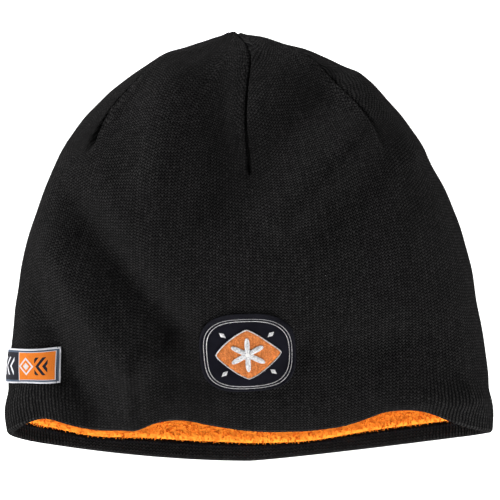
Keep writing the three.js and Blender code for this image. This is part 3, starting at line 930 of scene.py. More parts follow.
# painted light: the inside of the knit, the turned-in hem with it, is made lighter than the outside
turned_in = calc("LESS_THAN", hem_place.outputs["Y"], 0.0)
facing_painted_light = calc("ADD", calc("MULTIPLY", turned_in, FACING_PAINTED_LIGHT), 1.0)
depth_shade = calc("MINIMUM", calc("MULTIPLY", depth_shade, facing_painted_light), KNIT_BRIGHTEST)
knit_mix = mixed(tree, depth_shade, KNIT_GAP_SHADE, yarn)
knit_mix.node.clamp_factor = False
tree.links.new(knit_mix, shader.inputs["Base Color"])
knit_height = calc("ADD", knit_pattern.outputs["Height"], calc("MULTIPLY", fast, 0.25))
relief(tree, shader, knit_height, KNIT_RELIEF)
knit_shell.data.materials.append(knit_material)

# %% Material: orange fleece
FLEECE_LIT = (0.92, 0.31, 0.036)
FLEECE_DEEP = (0.9, 0.25, 0.025)


def fleece_look(name, slow_size, fast_size, depth):
    """Fleece scatters light between its fibres. Its colour varies at random between two oranges."""
    material, tree, shader = new_material(name, 0.95, Specular_IOR_Level=0.0)
    slow, fast = add_unevenness(tree, slow_size, fast_size)
    calc = calculator(tree)
    shade = calc("ADD", calc("MULTIPLY", slow, 0.7), calc("MULTIPLY", fast, 0.4))
    tree.links.new(mixed(tree, shade, FLEECE_DEEP, FLEECE_LIT), shader.inputs["Base Color"])
    relief(tree, shader, fast, depth)
    return material


fleece_material = fleece_look("orange_fleece", 0.006, 0.0009, 0.0003)
pile_material = fleece_look("orange_pile", 0.006, 0.0009, 0.0001)
fleece.data.materials.append(fleece_material)
print("materials so far:", [material.name for material in bpy.data.materials])

# %% [markdown]
# ## Growing repeated things
#
# Fibres and sewn threads repeat by the thousand, which is the work of Geometry Nodes. A tree runs as
# a modifier on a guide object. Its result is then made a plain mesh and the modifier is gone, so the
# piece is as solid as any other and a part library can export it.

# %% Run a tree and keep its result
def grow(name, guide, tree, keep_guide=False, **values):
    """A plain mesh object from a geometry tree that runs on the guide."""
    modifier = guide.modifiers.new("growth", "NODES")
    modifier.node_group = tree
    sockets = {
        socket.name: socket.identifier
        for socket in tree.interface.items_tree
        if socket.item_type == "SOCKET" and socket.in_out == "INPUT"
    }
    for key, value in values.items():
        modifier[sockets[key.replace("_", " ")]] = value
    seen = guide.evaluated_get(bpy.context.evaluated_depsgraph_get())
    mesh = bpy.data.meshes.new_from_object(seen)
    mesh.name = name
    guide.modifiers.remove(modifier)
    if not keep_guide:
        bpy.data.objects.remove(guide)
    made = bpy.data.objects.new(name, mesh)
    bpy.context.scene.collection.objects.link(made)
    print(name, "triangles:", triangle_count(made))
    return made


# %% [markdown]
# ## Fibres
#
# One fibre is a bent tube with three sides that tapers to its tip: eighteen triangles. The tree
# strews it over a surface where the attribute `hairy` says so, turns each one its own way with a
# fixed seed, and realises them all. The fleece's pile and the fuzz of the knit are the same tree
# with other sizes.

# %% The fibre tree
GEOMETRY = "NodeSocketGeometry"
MATERIAL = "NodeSocketMaterial"
INTEGER = "NodeSocketInt"
FIBRE_ROOT = (0, 0, -0.1)  # in lengths of the fibre, as are the next two
FIBRE_MIDDLE = (0, 0, 0.6)
FIBRE_TIP_UP = 0.9
FIBRE_TAPER = 0.85
FIBRE_TAPER_POWER = 1.5
FIBRE_SHORTEST = 0.6
FIBRE_LONGEST = 1.25


def finish_growth(tree, instances, given, result):
    """Real geometry from the instances, with the given material."""
    realised = add(tree, "GeometryNodeRealizeInstances", {"Geometry": instances.outputs[0]})
    inputs = {"Geometry": realised.outputs[0], "Material": given["Material"]}
    finished = add(tree, "GeometryNodeSetMaterial", inputs)
    tree.links.new(finished.outputs[0], result["Geometry"])


fibre_tree, given, result = new_tree(
    "Fibres on a surface",
    "GeometryNodeTree",
    [
        ("Geometry", GEOMETRY, None),
        ("Density", FLOAT, 1e6),
        ("Length", FLOAT, 0.002),
        ("Thickness", FLOAT, 0.0001),
        ("Bend", FLOAT, 0.6),
        ("Lean", FLOAT, 0.5),
        ("Seed", INTEGER, 1),
        ("Material", MATERIAL, None),
    ],
    [("Geometry", GEOMETRY)],
)
calc = calculator(fibre_tree)
hairy = add(fibre_tree, "GeometryNodeInputNamedAttribute", {"Name": "hairy"}, data_type="FLOAT")
spots = add(
    fibre_tree,
    "GeometryNodeDistributePointsOnFaces",
    {
        "Mesh": given["Geometry"],
        "Density": calc("MULTIPLY", hairy.outputs["Attribute"], given["Density"]),
        "Seed": given["Seed"],
    },
)
bent = add(fibre_tree, "ShaderNodeCombineXYZ", {"X": given["Bend"], "Z": FIBRE_TIP_UP})
stem = add(
    fibre_tree,
    "GeometryNodeCurveQuadraticBezier",
    {"Resolution": 3, "Start": FIBRE_ROOT, "Middle": FIBRE_MIDDLE, "End": bent.outputs[0]},
)
along_stem = add(fibre_tree, "GeometryNodeSplineParameter").outputs["Factor"]
thinned = calc("MULTIPLY", calc("POWER", along_stem, FIBRE_TAPER_POWER), FIBRE_TAPER)
taper = calc("SUBTRACT", 1.0, thinned)
tapered = add(fibre_tree, "GeometryNodeSetCurveRadius", {"Curve": stem.outputs[0], "Radius": taper})
half_thickness = calc("DIVIDE", given["Thickness"], calc("MULTIPLY", given["Length"], 2.0))
profile = add(fibre_tree, "GeometryNodeCurvePrimitiveCircle", {"Resolution": 3, "Radius": half_thickness})
fibre = add(
    fibre_tree,
    "GeometryNodeCurveToMesh",
    {"Curve": tapered.outputs[0], "Profile Curve": profile.outputs[0], "Fill Caps": True},
)
lean_low = calc("MULTIPLY", given["Lean"], -1.0)
lowest = add(fibre_tree, "ShaderNodeCombineXYZ", {"X": lean_low, "Y": lean_low})
highest = add(
    fibre_tree, "ShaderNodeCombineXYZ", {"X": given["Lean"], "Y": given["Lean"], "Z": 2 * math.pi}
)
any_turn = add(
    fibre_tree,
    "FunctionNodeRandomValue",
    {0: lowest.outputs[0], 1: highest.outputs[0], "Seed": given["Seed"]},
    data_type="FLOAT_VECTOR",
)
own_turn = add(fibre_tree, "FunctionNodeEulerToRotation", {0: any_turn.outputs[0]})
rotation = add(
    fibre_tree,
    "FunctionNodeRotateRotation",
    {"Rotation": spots.outputs["Rotation"], "Rotate By": own_turn.outputs[0]},
    rotation_space="LOCAL",
)
own_size = add(
    fibre_tree,
    "FunctionNodeRandomValue",
    {2: FIBRE_SHORTEST, 3: FIBRE_LONGEST, "Seed": given["Seed"]},
    data_type="FLOAT",
)
strewn = add(
    fibre_tree,
    "GeometryNodeInstanceOnPoints",
    {
        "Points": spots.outputs["Points"],
        "Instance": fibre.outputs[0],
        "Rotation": rotation.outputs[0],
        "Scale": calc("MULTIPLY", own_size.outputs[1], given["Length"]),
    },
)
finish_growth(fibre_tree, strewn, given, result)
print("fibre tree nodes:", len(fibre_tree.nodes))

# %% The pile near the mouth
PILE_REACH = 46.0  # how deep into the cap the single fibres go, from the hem
PILE_FIBRE = 0.8
PILE_THICKNESS = 0.36
PILE_COUNT = 10500
PILE_EDGE = 3  # the lining's edge, where more fibres stand
PILE_AT_EDGE = 0.3


def mark_hairy(made, amounts):
    layer = made.data.attributes.new("hairy", "FLOAT", "POINT")
    layer.data.foreach_set("value", np.asarray(amounts, np.float32).ravel())


def area_of(made, amounts):
    """The area in square metres, with each face weighed by its corners' mean amount."""
    faces = made.data.polygons
    return sum(face.area * np.mean([amounts[i] for i in face.vertices]) for face in faces)


inwards_from_hem = (lining_surface["rise"] - lining_start) * CAP_LENGTH
pile_amount = smooth((PILE_REACH - inwards_from_hem) / PILE_REACH) + PILE_AT_EDGE * (inwards_from_hem < PILE_EDGE)
hairy_rings = [
    np.zeros(1),
    *pile_amount[::-1],
    np.full(LINING_COLUMNS, 1.0),
    *np.zeros((LINING_OUTER_ROWS, LINING_COLUMNS)),
    np.zeros(1),
]
lining_hairy = np.concatenate(hairy_rings)
mark_hairy(fleece, lining_hairy)
fleece_pile = grow(
    "fleece_pile",
    fleece,
    fibre_tree,
    keep_guide=True,
    Density=PILE_COUNT / area_of(fleece, lining_hairy),
    Length=PILE_FIBRE * MM,
    Thickness=PILE_THICKNESS * MM,
    Bend=0.7,
    Lean=0.7,
    Seed=11,
    Material=pile_material,
)

# %% Material and fibres: the fuzz of the knit
FUZZ_LIT = (0.025, 0.025, 0.026)
fuzz_material, tree, shader = new_material("black_fuzz", 0.8, Specular_IOR_Level=0.2)
slow, fast = add_unevenness(tree, 0.01, 0.001)
tree.links.new(mixed(tree, fast, KNIT_YARN, FUZZ_LIT), shader.inputs["Base Color"])

FUZZ_FIBRE = 1.5
FUZZ_THICKNESS = 0.035
FUZZ_COUNT = 4200
FUZZ_CLEAR = 3.0  # the floor's side has none up to this height
open_rows = np.array([*outer[::-1], *rim])[..., 2]
shell_hairy = np.concatenate(
    [
        np.zeros(1),
        smooth((open_rows - FUZZ_CLEAR) / FUZZ_CLEAR).ravel(),
        np.zeros((len(facing) + len(inner)) * len(shell_turns)),
        np.zeros(1),
    ]
)
mark_hairy(knit_shell, shell_hairy)
knit_fuzz = grow(
    "knit_fuzz",
    knit_shell,
    fibre_tree,
    keep_guide=True,
    Density=FUZZ_COUNT / area_of(knit_shell, shell_hairy),
    Length=FUZZ_FIBRE * MM,
    Thickness=FUZZ_THICKNESS * MM,
    Bend=0.9,
    Lean=1.1,
    Seed=5,
    Material=fuzz_material,
)

# %% [markdown]
# ## Rows of stitches
#
# A satin line, an overlocked edge and a filled shape are all the same thing: threads laid side by
# side across a line. The tree below takes a guide line whose points carry two attributes, `away`,
# the direction off the cloth, and `span`, the length of the thread there. It spaces points along the
# line and lays one arched thread across each. A span that grows and shrinks fills a petal or a
# diamond.

# %% The stitch-row tree
stitch_tree, given, result = new_tree(
    "Stitch row",
    "GeometryNodeTree",
    [
        ("Geometry", GEOMETRY, None),
        ("Pitch", FLOAT, 0.0004),
        ("Thread", FLOAT, 0.0004),
        ("Rise", FLOAT, 0.0004),
        ("Sink", FLOAT, 0.0002),
        ("Slant", FLOAT, 0.0),
        ("Sides", INTEGER, 5),
        ("Material", MATERIAL, None),
    ],
    [("Geometry", GEOMETRY)],
)
calc = calculator(stitch_tree)
line = add(stitch_tree, "GeometryNodeMeshToCurve", {"Mesh": given["Geometry"]})
spaced = add(
    stitch_tree,
    "GeometryNodeResampleCurve",
    {"Curve": line.outputs[0], "Length": given["Pitch"]},
    mode="LENGTH",
)
places = add(stitch_tree, "GeometryNodeCurveToPoints", {"Curve": spaced.outputs[0]}, mode="EVALUATED")
away = add(stitch_tree, "GeometryNodeInputNamedAttribute", {"Name": "away"}, data_type="FLOAT_VECTOR")
span = add(stitch_tree, "GeometryNodeInputNamedAttribute", {"Name": "span"}, data_type="FLOAT")
upright = add(
    stitch_tree, "FunctionNodeAlignRotationToVector", {"Vector": away.outputs["Attribute"]}, axis="Z"
)
lined_up = add(
    stitch_tree,
    "FunctionNodeAlignRotationToVector",
    {"Rotation": upright.outputs[0], "Vector": places.outputs["Tangent"]},
    axis="Y",
    pivot_axis="Z",
)
slant = add(
    stitch_tree, "FunctionNodeAxisAngleToRotation", {"Axis": (0, 0, 1), "Angle": given["Slant"]}
)
rotation = add(
    stitch_tree,
    "FunctionNodeRotateRotation",
    {"Rotation": lined_up.outputs[0], "Rotate By": slant.outputs[0]},
    rotation_space="LOCAL",
)
foot = calc("MULTIPLY", given["Sink"], -1.0)
crest = calc("ADD", calc("MULTIPLY", given["Rise"], 2.0), given["Sink"])
ends = [
    add(stitch_tree, "ShaderNodeCombineXYZ", {"X": side, "Z": height}).outputs[0]
    for side, height in ((-0.5, foot), (0.0, crest), (0.5, foot))
]
arch = add(
    stitch_tree,
    "GeometryNodeCurveQuadraticBezier",
    {"Resolution": 4, "Start": ends[0], "Middle": ends[1], "End": ends[2]},
)
profile = add(
    stitch_tree,
    "GeometryNodeCurvePrimitiveCircle",
    {"Resolution": given["Sides"], "Radius": calc("DIVIDE", given["Thread"], 2.0)},
)
thread = add(
    stitch_tree,
    "GeometryNodeCurveToMesh",
    {"Curve": arch.outputs[0], "Profile Curve": profile.outputs[0], "Fill Caps": True},
)
smoothed = add(stitch_tree, "GeometryNodeSetShadeSmooth", {"Geometry": thread.outputs[0]})
stretch = add(
    stitch_tree, "ShaderNodeCombineXYZ", {"X": span.outputs["Attribute"], "Y": 1.0, "Z": 1.0}
)
laid = add(
    stitch_tree,
    "GeometryNodeInstanceOnPoints",
    {
        "Points": places.outputs["Points"],
        "Instance": smoothed.outputs[0],
        "Rotation": rotation.outputs[0],
        "Scale": stretch.outputs[0],
    },
)
finish_growth(stitch_tree, laid, given, result)
print("stitch tree nodes:", len(stitch_tree.nodes))


# %% Guide lines for the stitches
def guide_lines(name, lines):
    """A guide object. Each line has places and aways in millimetres, spans, and whether it closes."""
    places, aways, spans, edges = [], [], [], []
    for line_places, line_aways, line_spans, closed in lines:
        first, count = len(places), len(line_places)
        places.extend(line_places)
        aways.extend(line_aways)
        spans.extend(np.broadcast_to(line_spans, count) * MM)
        edges.extend((first + i, first + i + 1) for i in range(count - 1))
        if closed:
            edges.append((first + count - 1, first))
    made = new_object(name, places, edges=edges)
    layer = made.data.attributes.new("away", "FLOAT_VECTOR", "POINT")
    layer.data.foreach_set("vector", np.asarray(aways, np.float32).ravel())
    layer = made.data.attributes.new("span", "FLOAT", "POINT")
    layer.data.foreach_set("value", np.asarray(spans, np.float32))
    return made


def sew(name, lines, material, pitch, thread, rise, sink=0.15, slant=0.0, sides=5):
    """Stitches along the lines. Sizes are in millimetres, the slant in degrees."""
    return grow(
        name,
        guide_lines(name + "_guide", lines),
        stitch_tree,
        Pitch=pitch * MM,
        Thread=thread * MM,
        Rise=rise * MM,
        Sink=sink * MM,
        Slant=math.radians(slant),
        Sides=sides,
        Material=material,
    )


# %% [markdown]
# ## Pattern: thread and twill
#
# Embroidery thread is glossy rayon or polyester, which is what makes satin stitch shine, so it is
# smoother than the knit. Twill is a weave whose ribs run slantwise, half a millimetre apart.

# %% The rib group and the thread materials
ribs, given, result = new_tree(
    "Woven ribs",
    "ShaderNodeTree",
    [("Vector", VECTOR, None), ("Pitch", FLOAT, 0.5), ("Slope", FLOAT, 1.0), ("Cross", FLOAT, 0.4)],
    [("Height", FLOAT)],
)
calc = calculator(ribs)
parts = add(ribs, "ShaderNodeSeparateXYZ", {0: given["Vector"]})
x_turns = calc("DIVIDE", parts.outputs["X"], given["Pitch"])
y_turns = calc("DIVIDE", parts.outputs["Y"], given["Pitch"])
slope = calc("ADD", x_turns, calc("MULTIPLY", y_turns, given["Slope"]))
rib = calc("ABSOLUTE", calc("SINE", calc("MULTIPLY", slope, math.pi)))
crossing = calc("ABSOLUTE", calc("SINE", calc("MULTIPLY", y_turns, 2 * math.pi)))
woven = calc("ADD", rib, calc("MULTIPLY", crossing, given["Cross"]))
ribs.links.new(woven, result["Height"])


THREAD_SLOW = 0.5  # how much the slow and the fast unevenness tell in a thread's shade
THREAD_FAST = 1.9
THREAD_DARKER = 0.7
THREAD_RELIEF = 0.00006


def thread_look(name, dark, light, roughness=0.5, gloss=0.2):
    material, tree, shader = new_material(name, roughness)
    shader.inputs["Specular IOR Level"].default_value = gloss
    slow, fast = add_unevenness(tree, 0.003, 0.0007)
    calc = calculator(tree)
    shade = calc("ADD", calc("MULTIPLY", slow, THREAD_SLOW), calc("MULTIPLY", fast, THREAD_FAST))
    shade = calc("MINIMUM", calc("MAXIMUM", calc("SUBTRACT", shade, THREAD_DARKER), 0.0), 1.0)
    tree.links.new(mixed(tree, shade, dark, light), shader.inputs["Base Color"])
    relief(tree, shader, fast, THREAD_RELIEF)
    return material


white_thread = thread_look("white_thread", (0.18, 0.18, 0.19), (0.62, 0.61, 0.61), 0.6, 0.1)
orange_thread = thread_look("orange_thread", (0.25, 0.07, 0.012), (0.68, 0.24, 0.07), 0.6, 0.1)
black_thread = thread_look("black_thread", (0.003, 0.003, 0.0045), (0.009, 0.009, 0.012), 0.8, 0.03)
seam_thread = thread_look("orange_seam_thread", (0.5, 0.12, 0.01), (0.8, 0.22, 0.02), 0.7)


def backing_look(name, dark, light):
    """The cloth under the embroidery, a twill on the piece's own flat map in millimetres."""
    material, tree, shader = new_material(name, 0.85, Specular_IOR_Level=0.03)
    flat_place = add(tree, "ShaderNodeUVMap", uv_map="flat_mm").outputs["UV"]
    weave = add(tree, "ShaderNodeGroup", node_tree=ribs)
    tree.links.new(flat_place, weave.inputs["Vector"])
    weave.inputs["Pitch"].default_value = 0.55
    slow, fast = add_unevenness(tree, 0.006, 0.0005)
    calc = calculator(tree)
    shade = calc("MULTIPLY", weave.outputs["Height"], calc("ADD", slow, 0.2))
    tree.links.new(mixed(tree, shade, dark, light), shader.inputs["Base Color"])
    relief(tree, shader, weave.outputs["Height"], 0.00012)
    return material


twill_material = backing_look("black_twill", (0.0012, 0.0012, 0.002), (0.0055, 0.0055, 0.009))
orange_backing = backing_look("orange_backing", (0.3, 0.08, 0.01), (0.6, 0.18, 0.04))
white_backing = backing_look("white_backing", (0.35, 0.34, 0.33), (0.75, 0.74, 0.73))

# %% [markdown]
# ## The patch
#
# An embroidered patch is a flat cut of twill, and it lies on the curved front like a sticker. So a
# point of it is given in flat millimetres, and `on_front` walks that far along the cloth. Each layer
# is a closed plate made of rings, with the CAD solid's own outline and heights.

# %% Sizes of the patch and how it is laid
PATCH_WIDTH = 45.5
PATCH_HEIGHT = 40.5
PATCH_CENTRE = 54.3
PATCH_TURN = math.radians(2.0)
PATCH_THICKNESS = 1.1
PATCH_BORDER = 1.4  # narrower than in the solid
PATCH_BORDER_RISE = 0.5
PATCH_SQUARENESS = 3.1
FIELD_WIDTH = 31.0
FIELD_HEIGHT = 26.0
FIELD_POINTEDNESS = 1.25
STAR_ARMS = 6
STAR_REACH = 9.0
STAR_WAIST = 2.6
STITCH_RISE = 0.5

PATCH_FACE = TRIM_GAP + PATCH_THICKNESS
FIELD_FACE = PATCH_FACE + PIECE_GAP + STITCH_RISE
STAR_FACE = FIELD_FACE + PIECE_GAP + STITCH_RISE

one = np.zeros(1)
patch_rise = rise_at_y(one, one + PATCH_CENTRE)
patch_around = looked_up(grid["around"], one, patch_rise)[0]
patch_up = np.diff([looked_up(grid["place"], one, patch_rise + k * 0.002)[0] for k in (0, 1)], axis=0)[0]
patch_slope = patch_up[1] / np.linalg.norm(patch_up)


def on_front(x, y, height):
    """Places on the front for flat millimetres from the patch's centre, and the ways off it."""
    x, y = np.asarray(x, float), np.asarray(y, float)
    turned_x = x * math.cos(PATCH_TURN) - y * math.sin(PATCH_TURN)
    turned_y = x * math.sin(PATCH_TURN) + y * math.cos(PATCH_TURN)
    turns = turned_x / patch_around
    rises = rise_at_y(turns, PATCH_CENTRE + turned_y * patch_slope)
    return on_cloth(turns, rises, np.broadcast_to(height, x.shape))


def rounded_outline(width, height, power, count, size=1.0):
    angle = np.linspace(0, 2 * np.pi, count, endpoint=False)
    c, s = np.cos(angle), np.sin(angle)
    reach = (np.abs(c) ** power + np.abs(s) ** power) ** (-1 / power)
    return size * width * reach * c / 2, size * height * reach * s / 2


def star_outline(count, size=1.0):
    share = np.linspace(0, 2 * np.pi, count, endpoint=False)
    radius = mix(STAR_WAIST, STAR_REACH, np.abs(np.cos(STAR_ARMS * share / 2)) ** 3)
    angle = share + np.pi / 2
    return size * radius * np.cos(angle), size * radius * np.sin(angle)


def front_plate(name, outline, base, rings, material):
    """A closed plate on the front. Each ring is its share of the outline and its height."""
    face = [(*outline(share), height) for share, height in rings]
    under = [(x, y, base) for x, y, _ in face[::-1]]
    flat = [(x, y) for x, y, _ in face + under]
    made = closed_skin(name, [on_front(x, y, height)[0] for x, y, height in face + under])
    count = len(flat[0][0])
    table = np.concatenate([[[0, 0]], *[np.stack(ring, axis=1) for ring in flat], [[0, 0]]])
    corners = np.zeros(len(made.data.loops), int)
    made.data.loops.foreach_get("vertex_index", corners)
    layer = made.data.uv_layers.new(name="flat_mm")
    layer.data.foreach_set("uv", table[corners].astype(np.float32).ravel())
    made.data.materials.append(material)
    print(name, "triangles:", triangle_count(made), "points round:", count)
    return made


# %% The patch's three layers
def patch_outline(share):
    return rounded_outline(PATCH_WIDTH, PATCH_HEIGHT, PATCH_SQUARENESS, 160, share)


def field_outline(share):
    return rounded_outline(FIELD_WIDTH, FIELD_HEIGHT, FIELD_POINTEDNESS, 120, share)


def star_shape(share):
    return star_outline(180, share)


PATCH_BORDER_SECTION = [(0.3, 0.7), (0.6, 0.9), (0.85, 0.4)]  # shares of its width and rise
inner_share = 1 - 2 * PATCH_BORDER / PATCH_WIDTH
patch_rings = [(share, PATCH_FACE) for share in np.linspace(0.12, inner_share, 9)]
patch_rings += [
    *[
        (mix(inner_share, 1, across), PATCH_FACE + PATCH_BORDER_RISE * up)
        for across, up in PATCH_BORDER_SECTION
    ],
    (0.985, TRIM_GAP + PATCH_THICKNESS * 0.6),
    (0.985, TRIM_GAP * 0.4),
]
patch_ground = front_plate("patch_ground", patch_outline, 0.1, patch_rings, twill_material)

field_rings = [(share, FIELD_FACE - 0.25) for share in np.linspace(0.12, 0.94, 6)]
field_rings.append((0.99, PATCH_FACE + 0.1))
field_plate = front_plate("orange_lozenge", field_outline, PATCH_FACE - 0.2, field_rings, orange_backing)

star_rings = [(share, STAR_FACE - 0.3) for share in np.linspace(0.2, 0.8, 4)]
star_rings.append((0.97, FIELD_FACE + 0.1))
star_plate = front_plate("white_star", star_shape, FIELD_FACE - 0.2, star_rings, white_backing)


# %% [markdown]
# The machine that finishes a patch's rim throws a thick thread over it, stitch by stitch. The double
# white line, the lozenge's fill and its edging, and the star's petals are satin stitches.

# %% Stitches of the patch
def line_on_front(x, y, height, span, closed=False):
    places, aways = on_front(x, y, height)
    return places, aways, span, closed


EDGE_LINES = [
    dict(share=0.925, span=0.42),
    dict(share=0.866, span=0.42),
]
border_share = 1 - PATCH_BORDER / PATCH_WIDTH
patch_edge = sew(
    "patch_edge",
    [line_on_front(*patch_outline(border_share + 0.012), PATCH_FACE - 0.35, PATCH_BORDER + 0.5, True)],
    black_thread,
    pitch=0.44,
    thread=0.5,
    rise=0.85,
    sink=0.9,
    slant=8,
)
edging = [
    line_on_front(*patch_outline(row["share"]), PATCH_FACE, row["span"], True) for row in EDGE_LINES
]
edging.append(line_on_front(*field_outline(1.0), FIELD_FACE - 0.2, 0.6, True))
white_lines = sew("patch_white_lines", edging, white_thread, 0.36, 0.34, 0.16, slant=25)

FILL_COLUMN = 2.6
FILL_PITCH = 0.36


def half_height(x):
    """Half the lozenge's height at some x."""
    inside = np.clip(1 - np.abs(2 * x / FIELD_WIDTH) ** FIELD_POINTEDNESS, 0, 1)
    return FIELD_HEIGHT / 2 * inside ** (1 / FIELD_POINTEDNESS)


fill = []
column_count = int(FIELD_WIDTH / FILL_COLUMN)
for k in range(column_count):
    middle = (k - (column_count - 1) / 2) * FILL_COLUMN
    reach = half_height(abs(middle) + FILL_COLUMN / 2) - 0.1
    if reach < FILL_PITCH:
        continue
    y = np.linspace(-reach, reach, 24) + (k % 2) * FILL_PITCH / 2
    fill.append(line_on_front(np.full(24, middle), y, FIELD_FACE - 0.2, FILL_COLUMN + 0.25))
lozenge_fill = sew("lozenge_fill", fill, orange_thread, FILL_PITCH, 0.4, 0.1, slant=10, sides=4)

petals = []
for k in range(STAR_ARMS):
    angle = math.pi / 2 + k * 2 * math.pi / STAR_ARMS
    out = np.linspace(1.2, STAR_REACH - 0.3, 20)
    share = np.clip((out - STAR_WAIST) / (STAR_REACH - STAR_WAIST), 0, 1) ** (1 / 3)
    width = np.where(out > STAR_WAIST, 2 * np.sin(np.arccos(share) / 3 * 2 / STAR_ARMS * 3) * out, 0)
    width = np.where(out > STAR_WAIST, width, 2 * out * math.tan(math.pi / STAR_ARMS))
    petals.append(
        line_on_front(out * math.cos(angle), out * math.sin(angle), STAR_FACE - 0.3, width)
    )
star_stitches = sew("star_stitches", petals, white_thread, 0.32, 0.38, 0.2, slant=0)

CORNER_MOTIFS = [
    dict(x=11.7, y=10.4, turn=42),
    dict(x=-11.7, y=10.4, turn=-42),
    dict(x=-11.7, y=-10.4, turn=42),
    dict(x=11.7, y=-10.4, turn=-42),
]
motifs = []
for motif in CORNER_MOTIFS:
    along = np.linspace(-1.9, 1.9, 13)
    slanted = math.radians(motif["turn"])
    x = motif["x"] + along * math.cos(slanted)
    y = motif["y"] + along * math.sin(slanted)
    motifs.append(line_on_front(x, y, PATCH_FACE, 2.4 * (1 - np.abs(along) / 2.05)))
corner_motifs = sew("corner_diamonds", motifs, white_thread, 0.34, 0.38, 0.24)

# %% [markdown]
# ## The woven label
#
# A damask label is one ribbon woven in three colours and sewn on by its ends. It runs round the
# cap's left side, so its mesh is a strip whose cross-sections follow the cloth. Its pattern isn't
# printed on: it is drawn on a map in the label's own millimetres, with plain boxes and chevrons.

# %% The label's strip
LABEL_LENGTH = 54.0
LABEL_HEIGHT = 16.8
LABEL_THICKNESS = 0.7
LABEL_CENTRE = 47.5
LABEL_FRONT_SHARE = 0.705
LABEL_STEPS = 130
LABEL_ROWS = 26


def label_places(along, across, height):
    """Places on the label for millimetres from the side fold and from its middle line."""
    turns = (label_side + along) / label_around
    rises = rise_at_y(turns, LABEL_CENTRE + across)
    return on_cloth(turns, rises, np.broadcast_to(height, along.shape))


label_rise = rise_at_y(one + SEAMS[3]["turn"], one + LABEL_CENTRE)[0]
label_lengths = section(label_rise)[2]
label_around, label_side = label_lengths[-1], label_lengths[3 * QUARTER_STEPS]
edge_steps = np.linspace(-1, 1, LABEL_ROWS + 1)
across_face = np.sin(edge_steps * math.pi / 2) * LABEL_HEIGHT / 2
label_rings, label_map = [], [(0.0, 0.0)]
for i in range(LABEL_STEPS + 1):
    share = i / LABEL_STEPS
    along = np.full(LABEL_ROWS + 1, LABEL_LENGTH * (LABEL_FRONT_SHARE - share))
    wave = 0.12 * np.sin(share * 21.0 + 1.0) * np.sin(edge_steps * 2.0)
    end_dip = 0.35 * (bump(share, 0.02) + bump(1 - share, 0.02))
    face_height = TRIM_GAP + LABEL_THICKNESS - 0.25 * edge_steps**6 - end_dip + wave
    face = label_places(along, across_face, face_height)[0]
    back = label_places(along, across_face, np.full(along.shape, 0.15))[0]
    label_rings.append(np.concatenate([face, back[::-1]]))
    row = [(share * LABEL_LENGTH, value + LABEL_HEIGHT / 2) for value in across_face]
    label_map.extend(row + row[::-1])
label_map.append((LABEL_LENGTH, 0.0))
side_label = closed_skin("woven_side_label", label_rings)
corners = np.zeros(len(side_label.data.loops), int)
side_label.data.loops.foreach_get("vertex_index", corners)
layer = side_label.data.uv_layers.new(name="flat_mm")
layer.data.foreach_set("uv", np.array(label_map)[corners].astype(np.float32).ravel())
print("label triangles:", triangle_count(side_label))

# %% The box group for the label's pattern
boxes, given, result = new_tree(
    "Box mask",
    "ShaderNodeTree",
    [
        ("Vector", VECTOR, None),
        ("Left", FLOAT, 0),
        ("Right", FLOAT, 1),
        ("Low", FLOAT, 0),
        ("High", FLOAT, 1),
    ],
    [("Mask", FLOAT)],
)
calc = calculator(boxes)
parts = add(boxes, "ShaderNodeSeparateXYZ", {0: given["Vector"]})
masks = []
for value, low, high in (("X", "Left", "Right"), ("Y", "Low", "High")):
    masks.append(calc("GREATER_THAN", parts.outputs[value], given[low]))
    masks.append(calc("LESS_THAN", parts.outputs[value], given[high]))
sides = calc("MULTIPLY", masks[0], masks[1])
boxes.links.new(calc("MULTIPLY", sides, calc("MULTIPLY", masks[2], masks[3])), result["Mask"])

# %% Material: the woven label
LABEL_BORDER = 0.75
LABEL_LINE = 1.75
LABEL_BLOCK_END = 21.6
LABEL_KEYLINE = 0.4
CHEVRONS = [  # left, right, pitch and share of each chevron, in the label's millimetres
    dict(left=6.0, right=12.5, pitch=3.4, share=0.5),
    dict(left=25.5, right=49.0, pitch=4.6, share=0.32),
]
CHEVRON_HALF = 4.3
DIAMOND_CENTRE = 17.3
DIAMOND_REACH = 4.4
DIAMOND_LINE = 1.1

label_material, tree, shader = new_material("woven_label", 0.7, Specular_IOR_Level=0.05)
label_place = add(tree, "ShaderNodeUVMap", uv_map="flat_mm").outputs["UV"]
calc = calculator(tree)
parts = add(tree, "ShaderNodeSeparateXYZ", {0: label_place})
along_label = parts.outputs["X"]
off_middle = calc("ABSOLUTE", calc("SUBTRACT", parts.outputs["Y"], LABEL_HEIGHT / 2))


def label_box(left, right, low, high):
    values = {"Vector": label_place, "Left": left, "Right": right, "Low": low, "High": high}
    made = add(tree, "ShaderNodeGroup", node_tree=boxes)
    for key, value in values.items():
        if key == "Vector":
            tree.links.new(value, made.inputs[key])
        else:
            made.inputs[key].default_value = value
    return made.outputs["Mask"]


def inset_box(inset, left=0.0, right=LABEL_LENGTH):
    return label_box(left + inset, right - inset, inset, LABEL_HEIGHT - inset)


